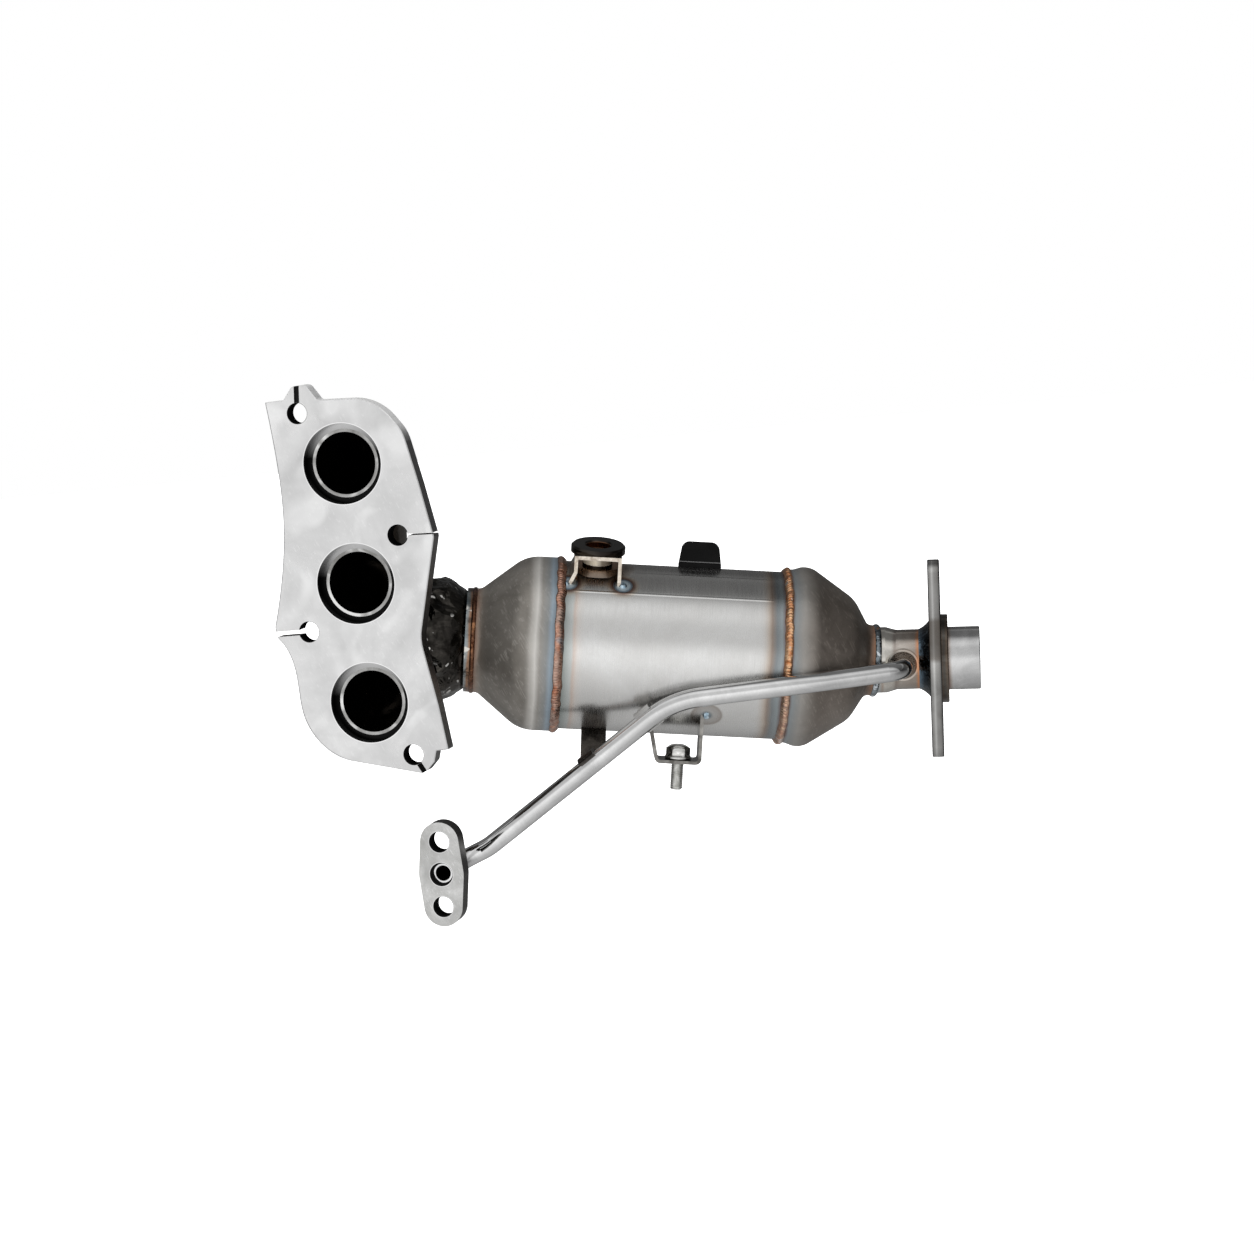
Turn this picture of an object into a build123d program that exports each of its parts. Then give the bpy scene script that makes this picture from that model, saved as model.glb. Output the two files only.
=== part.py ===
from build123d import *
import math
import os

# Manifold catalytic converter for a three cylinder engine, in millimetres.
# The origin is the middle of the centre port on the sealing face of the manifold flange.
# The sealing face looks along -Y, the three ports stand one above the other along Z,
# and the can runs off along +X, turned a little backwards and downwards.

# Manifold flange
port_pitch = 78.0
plate_thickness = 12.0
port_seat_radius = 26.0
port_seat_depth = 7.0
stud_hole_radius = 6.75
relief_slot_width = 3.5
hairline_slot_width = 1.0
slot_reach = 40.0
top_slot_turn = -5.0
inner_slot_turn = -2.0
bottom_slot_turn = 28.0
stud_top = (-26.5, 113.0)
stud_inner = (32.0, 29.0)
stud_outer = (-35.5, -28.8)
stud_bottom = (26.0, -114.0)
edge_break = 0.6

# Runner tubes
runner_radius = 22.25
runner_wall = 2.0
runner_weld_leg = 4.0

# Can axis, measured from the origin
can_place = (57.0, 70.0, -50.5)
can_yaw = 15.2
can_pitch = -9.1

# Collector, a hollow ball where the three runners meet
hub_place = -32.0
hub_radius = 40.0
hub_wall = 2.5
runner_reach = 29.0
collector_end = -5.0
collector_radius = 32.5

# Inlet cone and the sleeve in front of it
sleeve_start = -8.6
sleeve_end = -3.5
sleeve_wall = 2.2
neck_length = 4.0
cone_wall = 2.0
inlet_cone_length = 29.5
inlet_shoulder_radius = 26.0
neck_bend_radius = 6.0

# Can, mats and bricks
can_radius = 56.0
can_wall = 1.5
can_start = 44.0
inlet_skirt_end = 52.0
outlet_skirt_start = 203.0
can_end = 206.0
brick_start = 64.0
front_brick_length = 58.0
rear_brick_length = 62.0
brick_gap = 8.0
mat_thickness = 4.5
mat_inset = 3.0

# Outlet cone, pipe, flange and spigot
outlet_swell_run = (4.0, 10.0)
outlet_swell = 2.0
outlet_swell_radius = 8.0
outlet_shoulder_run = 16.5
outlet_shoulder_radius = 14.0
outlet_waist_run = 46.0
outlet_waist_drop = 19.5
outlet_waist_radius = 22.0
outlet_cone_length = 56.0
outlet_lip_length = 4.0
lip_bend_radius = 5.0
lip_bite = 0.4
pipe_setback = 1.0
outlet_yaw = 7.4
outlet_pitch = -3.7
pipe_radius = 22.0
pipe_neck_radius = 20.0
pipe_wall = 1.8
pipe_insert = 8.0
pipe_wide_length = 11.0
pipe_taper_length = 7.0
flange_place = 40.0
outlet_flange_thickness = 8.0
outlet_flange_length = 133.0
outlet_bolt_span = 102.0
outlet_bolt_radius = 5.25
outlet_flange_body_radius = 34.0
outlet_flange_end_radius = 13.0
collar_radius = 29.5
collar_thickness = 4.5
spigot_radius = 21.0
spigot_shank_radius = 20.4
spigot_wall = 1.8
spigot_end = 73.5
spigot_chamfer = 0.6

# Sensor boss and its strap
boss_place = 76.0
boss_angle = 77.0
boss_flange_radius = 18.0
boss_flange_thickness = 5.0
boss_rise = 15.3
boss_neck_radius = 10.0
boss_thread_radius = 8.25
boss_chamfer = 1.2
sensor_clearance = 0.75
dome_radius = 15.0
dome_height = 1.2
dome_slope = 40.0
dome_root = 3.6
strap_span = 31.0
strap_splay = 5.0
strap_front = 24.0
strap_back = 13.0
strap_crown_front = 13.0

# Pressed tab on top of the can
tab_place = 144.5
tab_base_width = 28.5
tab_top_width = 24.0
tab_rise = 17.4
tab_thickness = 2.5
tab_corner_radius = 5.5

# Recirculation tube, its flange and the ring where it joins the outlet pipe
tube_radius = 6.35
tube_wall = 1.2
tube_flange_place = (35.6, -193.8)
tube_flange_turn = 2.7
tube_flange_thickness = 12.0
tube_flange_half_pitch = 21.4
tube_flange_end_radius = 13.0
tube_flange_middle_radius = 15.2
tube_hole_radius = 6.75
tube_seat_radius = 7.6
tube_end_recess = 4.5
tube_first_rise = 41.0
tube_exit = (56.3, 43.0, -185.6)
tube_over_can = (128.0, -26.8)
tube_can_standoff = 2.0
tube_over_dome = (213.0, -10.3)
tube_dome_standoff = 12.0
tube_elbow_height = 46.0
tube_bends = (20.0, 40.0, 66.0, 60.0, 18.0)
ring_radius = 10.4
ring_mouth_radius = 9.2
ring_dish = 3.0
ring_place = 22.5
ring_angle = -2.0
ring_height = 25.0

# Stay, saddle, U bracket and bolt under the can
sheet = 2.3
stay_place = 79.3
stay_width = 16.5
stay_angle = -71.0
saddle_length = 12.0
saddle_cut = 24.0
saddle_place = 114.0
bracket_place = 135.4
bracket_span = 30.2
bracket_splay = 8.0
bracket_bend_radius = 4.0
bracket_front_inset = 14.0
bracket_width = 20.0
bracket_drop = 14.5
bolt_radius = 4.0
bolt_clearance = 0.3
bolt_neck_radius = 3.5
bolt_neck_run = 0.6
bolt_thread_length = 17.5
bolt_hex_flats = 13.0
bolt_flange_radius = 8.7
bolt_flange_thickness = 2.4
bolt_head_height = 9.6
bolt_head_round = 1.5
bolt_tip_chamfer = 0.8

# Weld beads
bead_leg = 4.0
bead_height = 1.2
seam_height = 0.8
seam_half_width = 1.6
nugget_radius = 3.0
nugget_height = 1.6
nugget_sink = 0.4
nugget_slope = 35.0
strap_nugget_turn = 24.5
bracket_nugget_angle = -42.0
pipe_bead_length = 4.5
pipe_bead_height = 0.8
flange_bead_length = 7.0
flange_bead_rise = 5.5
bead_hollow = 0.4
bead_slack = 0.8


def heading(yaw, pitch):
    """Direction turned from +X about Z by yaw and lifted by pitch."""
    a = math.radians(yaw)
    b = math.radians(pitch)
    return Vector(math.cos(b) * math.cos(a), math.cos(b) * math.sin(a), math.sin(b))


def level_front(yaw):
    """Level direction square to a heading of that yaw, pointing to the front."""
    a = math.radians(yaw)
    return Vector(math.sin(a), -math.cos(a), 0)


# In the can frame x runs along the can, y is up and z is to the front.
can_frame = Plane(origin=can_place, x_dir=heading(can_yaw, can_pitch), z_dir=level_front(can_yaw))
can_line = Axis(can_frame.origin, can_frame.x_dir)

cone_end = outlet_skirt_start + outlet_cone_length
lip_end = cone_end + outlet_lip_length
outlet_start = lip_end - pipe_setback
outlet_frame = Plane(
    origin=can_frame.from_local_coords((outlet_start, 0, 0)),
    x_dir=heading(outlet_yaw, outlet_pitch),
    z_dir=level_front(outlet_yaw),
)
outlet_line = Axis(outlet_frame.origin, outlet_frame.x_dir)


def along(frame, distance):
    """Plane square to the long axis of a frame: x to the back, y up."""
    place = frame.from_local_coords((distance, 0, 0))
    return Plane(origin=place, x_dir=-frame.z_dir, z_dir=frame.x_dir)


def outward(frame, distance, angle, height=0.0):
    """Plane that looks outwards from the axis at an angle above the front."""
    a = math.radians(angle)
    away = frame.z_dir * math.cos(a) + frame.y_dir * math.sin(a)
    place = frame.from_local_coords((distance, 0, 0)) + away * height
    return Plane(origin=place, x_dir=frame.x_dir, z_dir=away)


def bent_path(points, radii):
    """Straight lines through the points with an arc of its radius at each corner."""
    stops = [Vector(*p) for p in points]
    here = stops[0]
    for corner, after, before, radius in zip(stops[1:], stops[2:], stops, radii):
        into = (corner - before).normalized()
        out = (after - corner).normalized()
        half = math.radians(into.get_angle(out)) / 2
        cut = radius * math.tan(half)
        middle = corner + (out - into).normalized() * (radius / math.cos(half) - radius)
        Line(here, corner - into * cut)
        ThreePointArc(corner - into * cut, middle, corner + out * cut)
        here = corner + out * cut
    Line(here, stops[-1])


def clear_can():
    """Cuts the current piece back to the outside of the can."""
    with BuildSketch(along(can_frame, can_start)) as disc:
        Circle(can_radius)
    extrude(disc.sketch, amount=can_end - can_start, mode=Mode.SUBTRACT)


def save(piece, name):
    """Labels a finished piece and writes it."""
    piece.part.label = name
    export_step(piece.part, "parts/" + name + ".step")


os.makedirs("parts", exist_ok=True)

# Manifold flange, drawn looking at the sealing face with x across and z up
ports = [(0, port_pitch), (0, 0), (0, -port_pitch)]

with BuildPart() as manifold_flange:
    with BuildSketch(Plane.XZ) as outline:
        with BuildLine():
            Spline((-47.5, 122.0), (-44.2, 80.0), (-44.8, 40.0), (-50.2, 7.0), (-58.6, -24.0))
            Line((-58.6, -24.0), (-58.0, -31.0))
            Spline(
                (-58.0, -31.0), (-50.6, -43.0), (-47.5, -62.0), (-45.8, -84.0),
                (-34.5, -104.5), (-14.0, -116.0),
            )
            Polyline(
                (-14.0, -116.0), (32.0, -127.0), (39.5, -119.5), (41.5, -112.6), (49.8, -112.2),
                (46.5, -83.0), (39.3, -39.0), (56.0, 26.0), (50.0, 60.5), (43.0, 95.0),
                (26.0, 118.5), (-12.0, 120.3), (-19.0, 131.0), (-28.5, 130.5), (-35.0, 122.4),
                (-47.5, 122.0),
            )
        make_face()
        round_by = {
            (-58.6, -24.0): 4.0, (-58.0, -31.0): 4.0, (32.0, -127.0): 5.0, (39.5, -119.5): 2.0,
            (46.5, -83.0): 60.0, (39.3, -39.0): 30.0, (56.0, 26.0): 4.0, (43.0, 95.0): 30.0,
            (26.0, 118.5): 34.0, (-12.0, 120.3): 3.0, (-19.0, 131.0): 4.0, (-28.5, 130.5): 4.0,
        }
        for place, radius in round_by.items():
            corner = outline.vertices().sort_by_distance((place[0], place[1], 0))[0]
            fillet(corner, radius)
    extrude(amount=-plate_thickness)
    chamfer(manifold_flange.faces().sort_by(Axis.Y)[0].edges(), edge_break)
    with BuildSketch(Plane.XZ):
        with Locations(*ports):
            Circle(runner_radius)
        with Locations(stud_top, stud_inner, stud_outer, stud_bottom):
            Circle(stud_hole_radius)
    extrude(amount=-plate_thickness, mode=Mode.SUBTRACT)
    with BuildSketch(Plane.XZ):
        with Locations(*ports):
            Circle(port_seat_radius)
    extrude(amount=-port_seat_depth, mode=Mode.SUBTRACT)
    # Relief cuts from the stud holes to the edge of the plate
    with BuildSketch(Plane.XZ):
        with Locations(stud_top):
            Rectangle(
                relief_slot_width, slot_reach, rotation=top_slot_turn,
                align=(Align.CENTER, Align.MIN),
            )
        with Locations(stud_inner):
            Rectangle(
                slot_reach, hairline_slot_width, rotation=inner_slot_turn,
                align=(Align.MIN, Align.CENTER),
            )
        with Locations(stud_outer):
            Rectangle(slot_reach, relief_slot_width, align=(Align.MAX, Align.CENTER))
        with Locations(stud_bottom):
            Rectangle(
                relief_slot_width, slot_reach, rotation=bottom_slot_turn,
                align=(Align.CENTER, Align.MAX),
            )
    extrude(amount=-plate_thickness, mode=Mode.SUBTRACT)
save(manifold_flange, "manifold_flange")

# Runner tubes from the ports into the collector
# Each entry: port height, corner points of the middle line and their bend radii.
hub = can_frame.from_local_coords((hub_place, 0, 0))
runner_plans = {
    "runner_top": (port_pitch, [(0, 58.0, port_pitch), (-24.0, 106.0, -40.0)], (44.0, 24.0)),
    "runner_middle": (0, [(0, 36.0, 0)], (28.0,)),
    "runner_bottom": (-port_pitch, [(0, 36.0, -port_pitch)], (26.0,)),
}
mouths = []
for name, (height, corners, bends) in runner_plans.items():
    away = (Vector(*corners[-1]) - hub).normalized()
    mouths.append(Plane(origin=hub, z_dir=away))
    end = hub + away * runner_reach
    with BuildPart() as runner:
        with BuildLine() as route:
            bent_path([(0, port_seat_depth, height)] + corners + [tuple(end)], bends)
        with BuildSketch(Plane(origin=route.line @ 0, z_dir=route.line % 0)):
            Circle(runner_radius)
            Circle(runner_radius - runner_wall, mode=Mode.SUBTRACT)
        sweep(path=route.line)
    save(runner, name)

# Fillet welds where the runners leave the back of the plate
with BuildPart() as runner_welds:
    for height in (port_pitch, 0, -port_pitch):
        with BuildSketch(Plane.YZ):
            with BuildLine():
                Polyline(
                    (plate_thickness, height + runner_radius + runner_weld_leg),
                    (plate_thickness, height + runner_radius),
                    (plate_thickness + runner_weld_leg, height + runner_radius),
                    close=True,
                )
            make_face()
        revolve(axis=Axis((0, 0, height), (0, 1, 0)))
save(runner_welds, "runner_welds")

# Collector: a hollow ball bored for the three runners, with a round outlet
with BuildPart() as collector:
    with BuildSketch(can_frame):
        with BuildLine():
            start = (hub_place - hub_radius, 0)
            blend = hub_place + math.sqrt(hub_radius ** 2 - collector_radius ** 2)
            RadiusArc(start, (blend, collector_radius), hub_radius)
            Polyline(
                (blend, collector_radius), (collector_end, collector_radius),
                (collector_end, 0), start,
            )
        make_face()
        with BuildLine(mode=Mode.PRIVATE) as bore:
            inner = hub_radius - hub_wall
            outlet = collector_radius - hub_wall
            start = (hub_place - inner, 0)
            blend = hub_place + math.sqrt(inner ** 2 - outlet ** 2)
            RadiusArc(start, (blend, outlet), inner)
            Polyline((blend, outlet), (collector_end, outlet), (collector_end, 0), start)
        make_face(bore.edges(), mode=Mode.SUBTRACT)
    revolve(axis=can_line)
    for mouth in mouths:
        with BuildSketch(mouth):
            Circle(runner_radius)
        extrude(amount=hub_radius, mode=Mode.SUBTRACT)
save(collector, "collector")

# Sleeve around the end of the collector
with BuildPart() as inlet_sleeve:
    with BuildSketch(along(can_frame, sleeve_start)):
        Circle(collector_radius + sleeve_wall)
        Circle(collector_radius, mode=Mode.SUBTRACT)
    extrude(amount=sleeve_end - sleeve_start)
save(inlet_sleeve, "inlet_sleeve")

# Inlet cone: neck, cone, shoulder and the skirt that slips over the can
skirt_radius = can_radius + cone_wall
neck_radius = collector_radius + sleeve_wall
with BuildPart() as inlet_cone:
    with BuildSketch(can_frame):
        with BuildLine() as wall_line:
            Polyline(
                (sleeve_end, neck_radius),
                (sleeve_end + neck_length, neck_radius),
                (inlet_cone_length, skirt_radius),
                (inlet_skirt_end, skirt_radius),
            )
            bends = wall_line.vertices().sort_by(Axis.X)
            fillet(bends[1], neck_bend_radius)
            fillet(bends[2], inlet_shoulder_radius)
            offset(amount=cone_wall, side=Side.RIGHT)
        make_face()
    revolve(axis=can_line)
save(inlet_cone, "inlet_cone")

# Can shell with the pressed dome under the sensor boss
boss_base = outward(can_frame, boss_place, boss_angle)
dome_top = can_radius + dome_height
with BuildPart() as can_shell:
    with BuildSketch(along(can_frame, can_start)):
        Circle(can_radius)
    extrude(amount=can_end - can_start)
    with BuildSketch(boss_base.offset(dome_top)):
        Circle(dome_radius)
    extrude(amount=-dome_root, taper=-dome_slope)
    with BuildSketch(along(can_frame, can_start)):
        Circle(can_radius - can_wall)
    extrude(amount=can_end - can_start, mode=Mode.SUBTRACT)
    with BuildSketch(boss_base):
        Circle(boss_thread_radius + sensor_clearance)
    extrude(amount=dome_top, mode=Mode.SUBTRACT)
save(can_shell, "can_shell")

# Bricks and the mats that hold them
rear_brick_start = brick_start + front_brick_length + brick_gap
brick_radius = can_radius - can_wall - mat_thickness
for name, start, length in (
    ("front", brick_start, front_brick_length),
    ("rear", rear_brick_start, rear_brick_length),
):
    with BuildPart() as brick:
        with BuildSketch(along(can_frame, start)):
            Circle(brick_radius)
        extrude(amount=length)
    save(brick, name + "_brick")
    with BuildPart() as mat:
        with BuildSketch(along(can_frame, start + mat_inset)):
            Circle(can_radius - can_wall)
            Circle(brick_radius, mode=Mode.SUBTRACT)
        extrude(amount=length - 2 * mat_inset)
    save(mat, name + "_mat")

# Outlet pipe: wide end inside the cone, taper, narrow end inside the flange
with BuildPart() as outlet_pipe:
    with BuildSketch(outlet_frame):
        with BuildLine():
            Polyline(
                (-pipe_insert, pipe_radius),
                (pipe_wide_length, pipe_radius),
                (pipe_wide_length + pipe_taper_length, pipe_neck_radius),
                (flange_place + outlet_flange_thickness / 2, pipe_neck_radius),
            )
            offset(amount=pipe_wall, side=Side.RIGHT)
        make_face()
    revolve(axis=outlet_line)
    with BuildSketch(outward(outlet_frame, ring_place, ring_angle)):
        Circle(tube_radius)
    extrude(amount=pipe_radius + tube_radius, mode=Mode.SUBTRACT)
save(outlet_pipe, "outlet_pipe")

# Outlet cone: skirt over the can, a slight swell, a round cone and a lip cut to take the pipe
lip_radius = pipe_radius + cone_wall - lip_bite
swell_radius = skirt_radius + outlet_swell
with BuildPart() as outlet_cone:
    with BuildSketch(can_frame):
        with BuildLine() as wall_line:
            Polyline(
                (outlet_skirt_start, skirt_radius),
                (outlet_skirt_start + outlet_swell_run[0], skirt_radius),
                (outlet_skirt_start + outlet_swell_run[1], swell_radius),
                (outlet_skirt_start + outlet_shoulder_run, swell_radius),
                (outlet_skirt_start + outlet_waist_run, swell_radius - outlet_waist_drop),
                (cone_end, lip_radius),
                (lip_end, lip_radius),
            )
            bends = wall_line.vertices().sort_by(Axis.X)
            fillet(bends[1:3], outlet_swell_radius)
            fillet(bends[3], outlet_shoulder_radius)
            fillet(bends[4], outlet_waist_radius)
            fillet(bends[5], lip_bend_radius)
            offset(amount=cone_wall, side=Side.RIGHT)
        make_face()
    revolve(axis=can_line)
    with BuildSketch(along(outlet_frame, -pipe_insert)):
        Circle(pipe_radius)
    extrude(amount=2 * pipe_insert, mode=Mode.SUBTRACT)
save(outlet_cone, "outlet_cone")

# Outlet flange, an oval plate with two bolt holes
flange_end = flange_place + outlet_flange_thickness
flange_middle = flange_place + outlet_flange_thickness / 2
end_centre = outlet_flange_length / 2 - outlet_flange_end_radius
with BuildPart() as outlet_flange:
    with BuildSketch(along(outlet_frame, flange_place)):
        Circle(outlet_flange_body_radius)
        with Locations((0, end_centre), (0, -end_centre)):
            Circle(outlet_flange_end_radius)
        make_hull()
    extrude(amount=outlet_flange_thickness)
    across = outlet_flange.faces().sort_by(outlet_line)
    chamfer(across[0].edges() + across[-1].edges(), edge_break)
    with BuildSketch(along(outlet_frame, flange_place)):
        Circle(pipe_neck_radius)
        with Locations((0, outlet_bolt_span / 2), (0, -outlet_bolt_span / 2)):
            Circle(outlet_bolt_radius)
    extrude(amount=outlet_flange_thickness, mode=Mode.SUBTRACT)
    with BuildSketch(along(outlet_frame, flange_middle)):
        Circle(spigot_shank_radius)
    extrude(amount=outlet_flange_thickness, mode=Mode.SUBTRACT)
save(outlet_flange, "outlet_flange")

# Ring that centres the gasket on the face of the outlet flange
with BuildPart() as gasket_ring:
    with BuildSketch(along(outlet_frame, flange_end)):
        Circle(collar_radius)
        Circle(spigot_shank_radius, mode=Mode.SUBTRACT)
    extrude(amount=collar_thickness)
    rim = gasket_ring.edges().sort_by(outlet_line)[-2:]
    chamfer(rim.sort_by(SortBy.RADIUS)[-1], edge_break)
save(gasket_ring, "gasket_ring")

# Spigot that the exhaust pipe slips over, on a narrower shank through the ring
ring_face = flange_end + collar_thickness
with BuildPart() as outlet_spigot:
    with BuildSketch(along(outlet_frame, ring_face)):
        Circle(spigot_radius)
    extrude(amount=spigot_end - ring_face)
    chamfer(outlet_spigot.edges().sort_by(outlet_line)[-1], spigot_chamfer)
    with BuildSketch(along(outlet_frame, flange_middle)):
        Circle(spigot_shank_radius)
    extrude(amount=ring_face - flange_middle)
    with BuildSketch(along(outlet_frame, flange_middle)):
        Circle(spigot_radius - spigot_wall)
    extrude(amount=spigot_end - flange_middle, mode=Mode.SUBTRACT)
save(outlet_spigot, "outlet_spigot")

# Sensor boss: a round head on a neck, bored for the thread
boss_top = can_radius + boss_rise
boss_crown = boss_top - boss_flange_thickness
with BuildPart() as sensor_boss:
    with BuildSketch(boss_base.offset(dome_top)):
        Circle(boss_neck_radius)
    extrude(amount=boss_top - dome_top)
    with BuildSketch(boss_base.offset(boss_crown)):
        Circle(boss_flange_radius)
    extrude(amount=boss_flange_thickness)
    top = sensor_boss.faces().sort_by(Axis(boss_base.origin, boss_base.z_dir))[-1]
    chamfer(top.edges(), boss_chamfer)
    with BuildSketch(boss_base.offset(dome_top)):
        Circle(boss_thread_radius)
    extrude(amount=boss_top - dome_top, mode=Mode.SUBTRACT)
    mouth_edge = sensor_boss.faces().sort_by(Axis(boss_base.origin, boss_base.z_dir))[-1]
    chamfer(mouth_edge.edges().sort_by(SortBy.RADIUS)[0], boss_chamfer)
save(sensor_boss, "sensor_boss")

# Strap over the boss neck, a folded sheet with its feet on the can
strap_section = Plane(
    origin=boss_base.origin, x_dir=boss_base.x_dir, z_dir=-boss_base.y_dir
)
strap_low = can_radius * math.cos(math.asin(strap_front / can_radius)) - sheet
with BuildPart() as sensor_strap:
    with BuildSketch(strap_section.offset(-strap_back)):
        with BuildLine():
            Polyline(
                (-strap_span / 2 - strap_splay, strap_low),
                (-strap_span / 2, strap_low + 2 * strap_splay),
                (-strap_span / 2, boss_crown),
                (strap_span / 2, boss_crown),
                (strap_span / 2, strap_low),
            )
            offset(amount=sheet, side=Side.RIGHT)
        make_face()
    extrude(amount=strap_back + strap_front)
    side = Plane(origin=boss_base.origin, x_dir=strap_section.z_dir, z_dir=-strap_section.x_dir)
    with BuildSketch(side):
        with BuildLine():
            Polyline(
                (strap_crown_front, boss_crown),
                (strap_front, strap_low + 2 * sheet),
                (strap_front + strap_back, boss_crown),
                close=True,
            )
        make_face()
    extrude(amount=strap_span, both=True, mode=Mode.SUBTRACT)
    with BuildSketch(boss_base):
        Circle(boss_neck_radius)
    extrude(amount=boss_top, mode=Mode.SUBTRACT)
    clear_can()
    add(can_shell.part, mode=Mode.SUBTRACT)
save(sensor_strap, "sensor_strap")

# Pressed tab that stands on top of the can
tab_height = can_radius + tab_rise
with BuildPart() as shield_tab:
    with BuildSketch(can_frame.offset(-tab_thickness / 2)) as face:
        with BuildLine():
            Polyline(
                (tab_place - tab_base_width / 2, can_radius - sheet),
                (tab_place - tab_base_width / 2, can_radius + sheet),
                (tab_place - tab_top_width / 2, tab_height),
                (tab_place + tab_top_width / 2, tab_height),
                (tab_place + tab_base_width / 2, can_radius + sheet),
                (tab_place + tab_base_width / 2, can_radius - sheet),
                close=True,
            )
        make_face()
        fillet(face.vertices().group_by(Axis.Y)[-1], tab_corner_radius)
    extrude(amount=tab_thickness)
    clear_can()
save(shield_tab, "shield_tab")

# Recirculation tube flange, parallel to the manifold flange and in line with its face
flange_spot = Vector(tube_flange_place[0], 0, tube_flange_place[1])
tube_plane = Plane(Plane.XZ.location * Location(tuple(tube_flange_place), -tube_flange_turn))
with BuildPart() as tube_flange:
    with BuildSketch(tube_plane):
        Circle(tube_flange_middle_radius)
        with Locations((0, tube_flange_half_pitch), (0, -tube_flange_half_pitch)):
            Circle(tube_flange_end_radius)
        make_hull()
        with Locations((0, tube_flange_half_pitch), (0, -tube_flange_half_pitch)):
            Circle(tube_hole_radius, mode=Mode.SUBTRACT)
        Circle(tube_radius, mode=Mode.SUBTRACT)
    extrude(amount=-tube_flange_thickness)
    with BuildSketch(tube_plane):
        Circle(tube_seat_radius)
    extrude(amount=-tube_end_recess, mode=Mode.SUBTRACT)
save(tube_flange, "tube_flange")

# Recirculation tube, from its flange over the front of the can to the outlet pipe
ring_base = outward(outlet_frame, ring_place, ring_angle)
tube_high = can_frame.from_local_coords((*tube_over_can, can_radius + tube_can_standoff))
tube_stops = [
    (flange_spot.X, tube_end_recess, flange_spot.Z),
    (flange_spot.X, tube_first_rise, flange_spot.Z),
    tube_exit,
    tuple(tube_high),
    tuple(can_frame.from_local_coords((*tube_over_dome, can_radius + tube_dome_standoff))),
    tuple(ring_base.offset(tube_elbow_height).origin),
    tuple(ring_base.offset(pipe_neck_radius - pipe_wall).origin),
]
with BuildPart() as gas_tube:
    with BuildLine() as route:
        bent_path(tube_stops, tube_bends)
    with BuildSketch(Plane(origin=route.line @ 0, z_dir=route.line % 0)):
        Circle(tube_radius)
        Circle(tube_radius - tube_wall, mode=Mode.SUBTRACT)
    sweep(path=route.line)
save(gas_tube, "gas_tube")

# Dished ring that seats the tube on the outlet pipe
with BuildPart() as tube_ring:
    with BuildSketch(ring_base.offset(pipe_neck_radius - pipe_wall)):
        Circle(ring_radius)
    extrude(amount=ring_height - pipe_neck_radius + pipe_wall)
    with BuildSketch(ring_base):
        Circle(tube_radius)
    extrude(amount=ring_height, mode=Mode.SUBTRACT)
    with BuildSketch(ring_base.offset(ring_height)):
        Circle(ring_mouth_radius)
    with BuildSketch(ring_base.offset(ring_height - ring_dish)):
        Circle(tube_radius)
    loft(mode=Mode.SUBTRACT)
    with BuildSketch(outlet_frame):
        with BuildLine():
            Polyline(
                (0, 0), (0, pipe_radius), (pipe_wide_length, pipe_radius),
                (pipe_wide_length + pipe_taper_length, pipe_neck_radius),
                (flange_place, pipe_neck_radius), (flange_place, 0), close=True,
            )
        make_face()
    revolve(axis=outlet_line, mode=Mode.SUBTRACT)
save(tube_ring, "tube_ring")

# Straight run of the tube below the can, and planes square to it
run_start = Vector(*tube_exit)
run_course = (tube_high - run_start).normalized()


def on_run(distance):
    """Plane square to the straight run where it passes a distance along the can."""
    step = can_frame.x_dir.dot(run_course)
    reach = (distance - can_frame.to_local_coords(run_start).X) / step
    place = run_start + run_course * reach
    foot = can_frame.from_local_coords((distance, 0, 0)) - place
    towards = foot - run_course * foot.dot(run_course)
    return Plane(origin=place, x_dir=towards.normalized(), z_dir=run_course)


def clear_tube():
    """Cuts the current piece back to the outside of the straight run."""
    with BuildSketch(on_run(stay_place - can_radius)) as disc:
        Circle(tube_radius)
    extrude(disc.sketch, amount=2 * (bracket_place - stay_place) + can_radius, mode=Mode.SUBTRACT)


# Saddle that holds the tube off the can, a half sleeve on a short web
with BuildPart() as tube_saddle:
    with BuildSketch(on_run(saddle_place).offset(-saddle_length / 2)):
        Circle(tube_radius + sheet)
        Rectangle(
            saddle_cut, saddle_cut, align=(Align.MAX, Align.CENTER), mode=Mode.SUBTRACT
        )
        Rectangle(can_radius / 2, sheet, align=(Align.MIN, Align.CENTER))
        Circle(tube_radius, mode=Mode.SUBTRACT)
    extrude(amount=saddle_length)
    clear_can()
save(tube_saddle, "tube_saddle")

# Stay, a flat strap from the can down to a half sleeve behind the tube
stay_foot = outward(can_frame, stay_place, stay_angle, can_radius - sheet).origin
with BuildPart() as tube_stay:
    saddle_plane = on_run(stay_place)
    with BuildSketch(saddle_plane.offset(-saddle_length / 2)):
        Circle(tube_radius + sheet)
        Rectangle(
            saddle_cut, saddle_cut, align=(Align.MAX, Align.CENTER), mode=Mode.SUBTRACT
        )
    extrude(amount=saddle_length)
    section = along(can_frame, stay_place - stay_width / 2)
    foot = section.to_local_coords(stay_foot)
    hold = section.to_local_coords(saddle_plane.origin)
    with BuildSketch(section):
        with BuildLine():
            Line((foot.X, foot.Y), (hold.X, hold.Y))
            offset(amount=sheet, side=Side.LEFT)
        make_face()
    extrude(amount=stay_width)
    clear_can()
    clear_tube()
save(tube_stay, "tube_stay")

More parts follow.
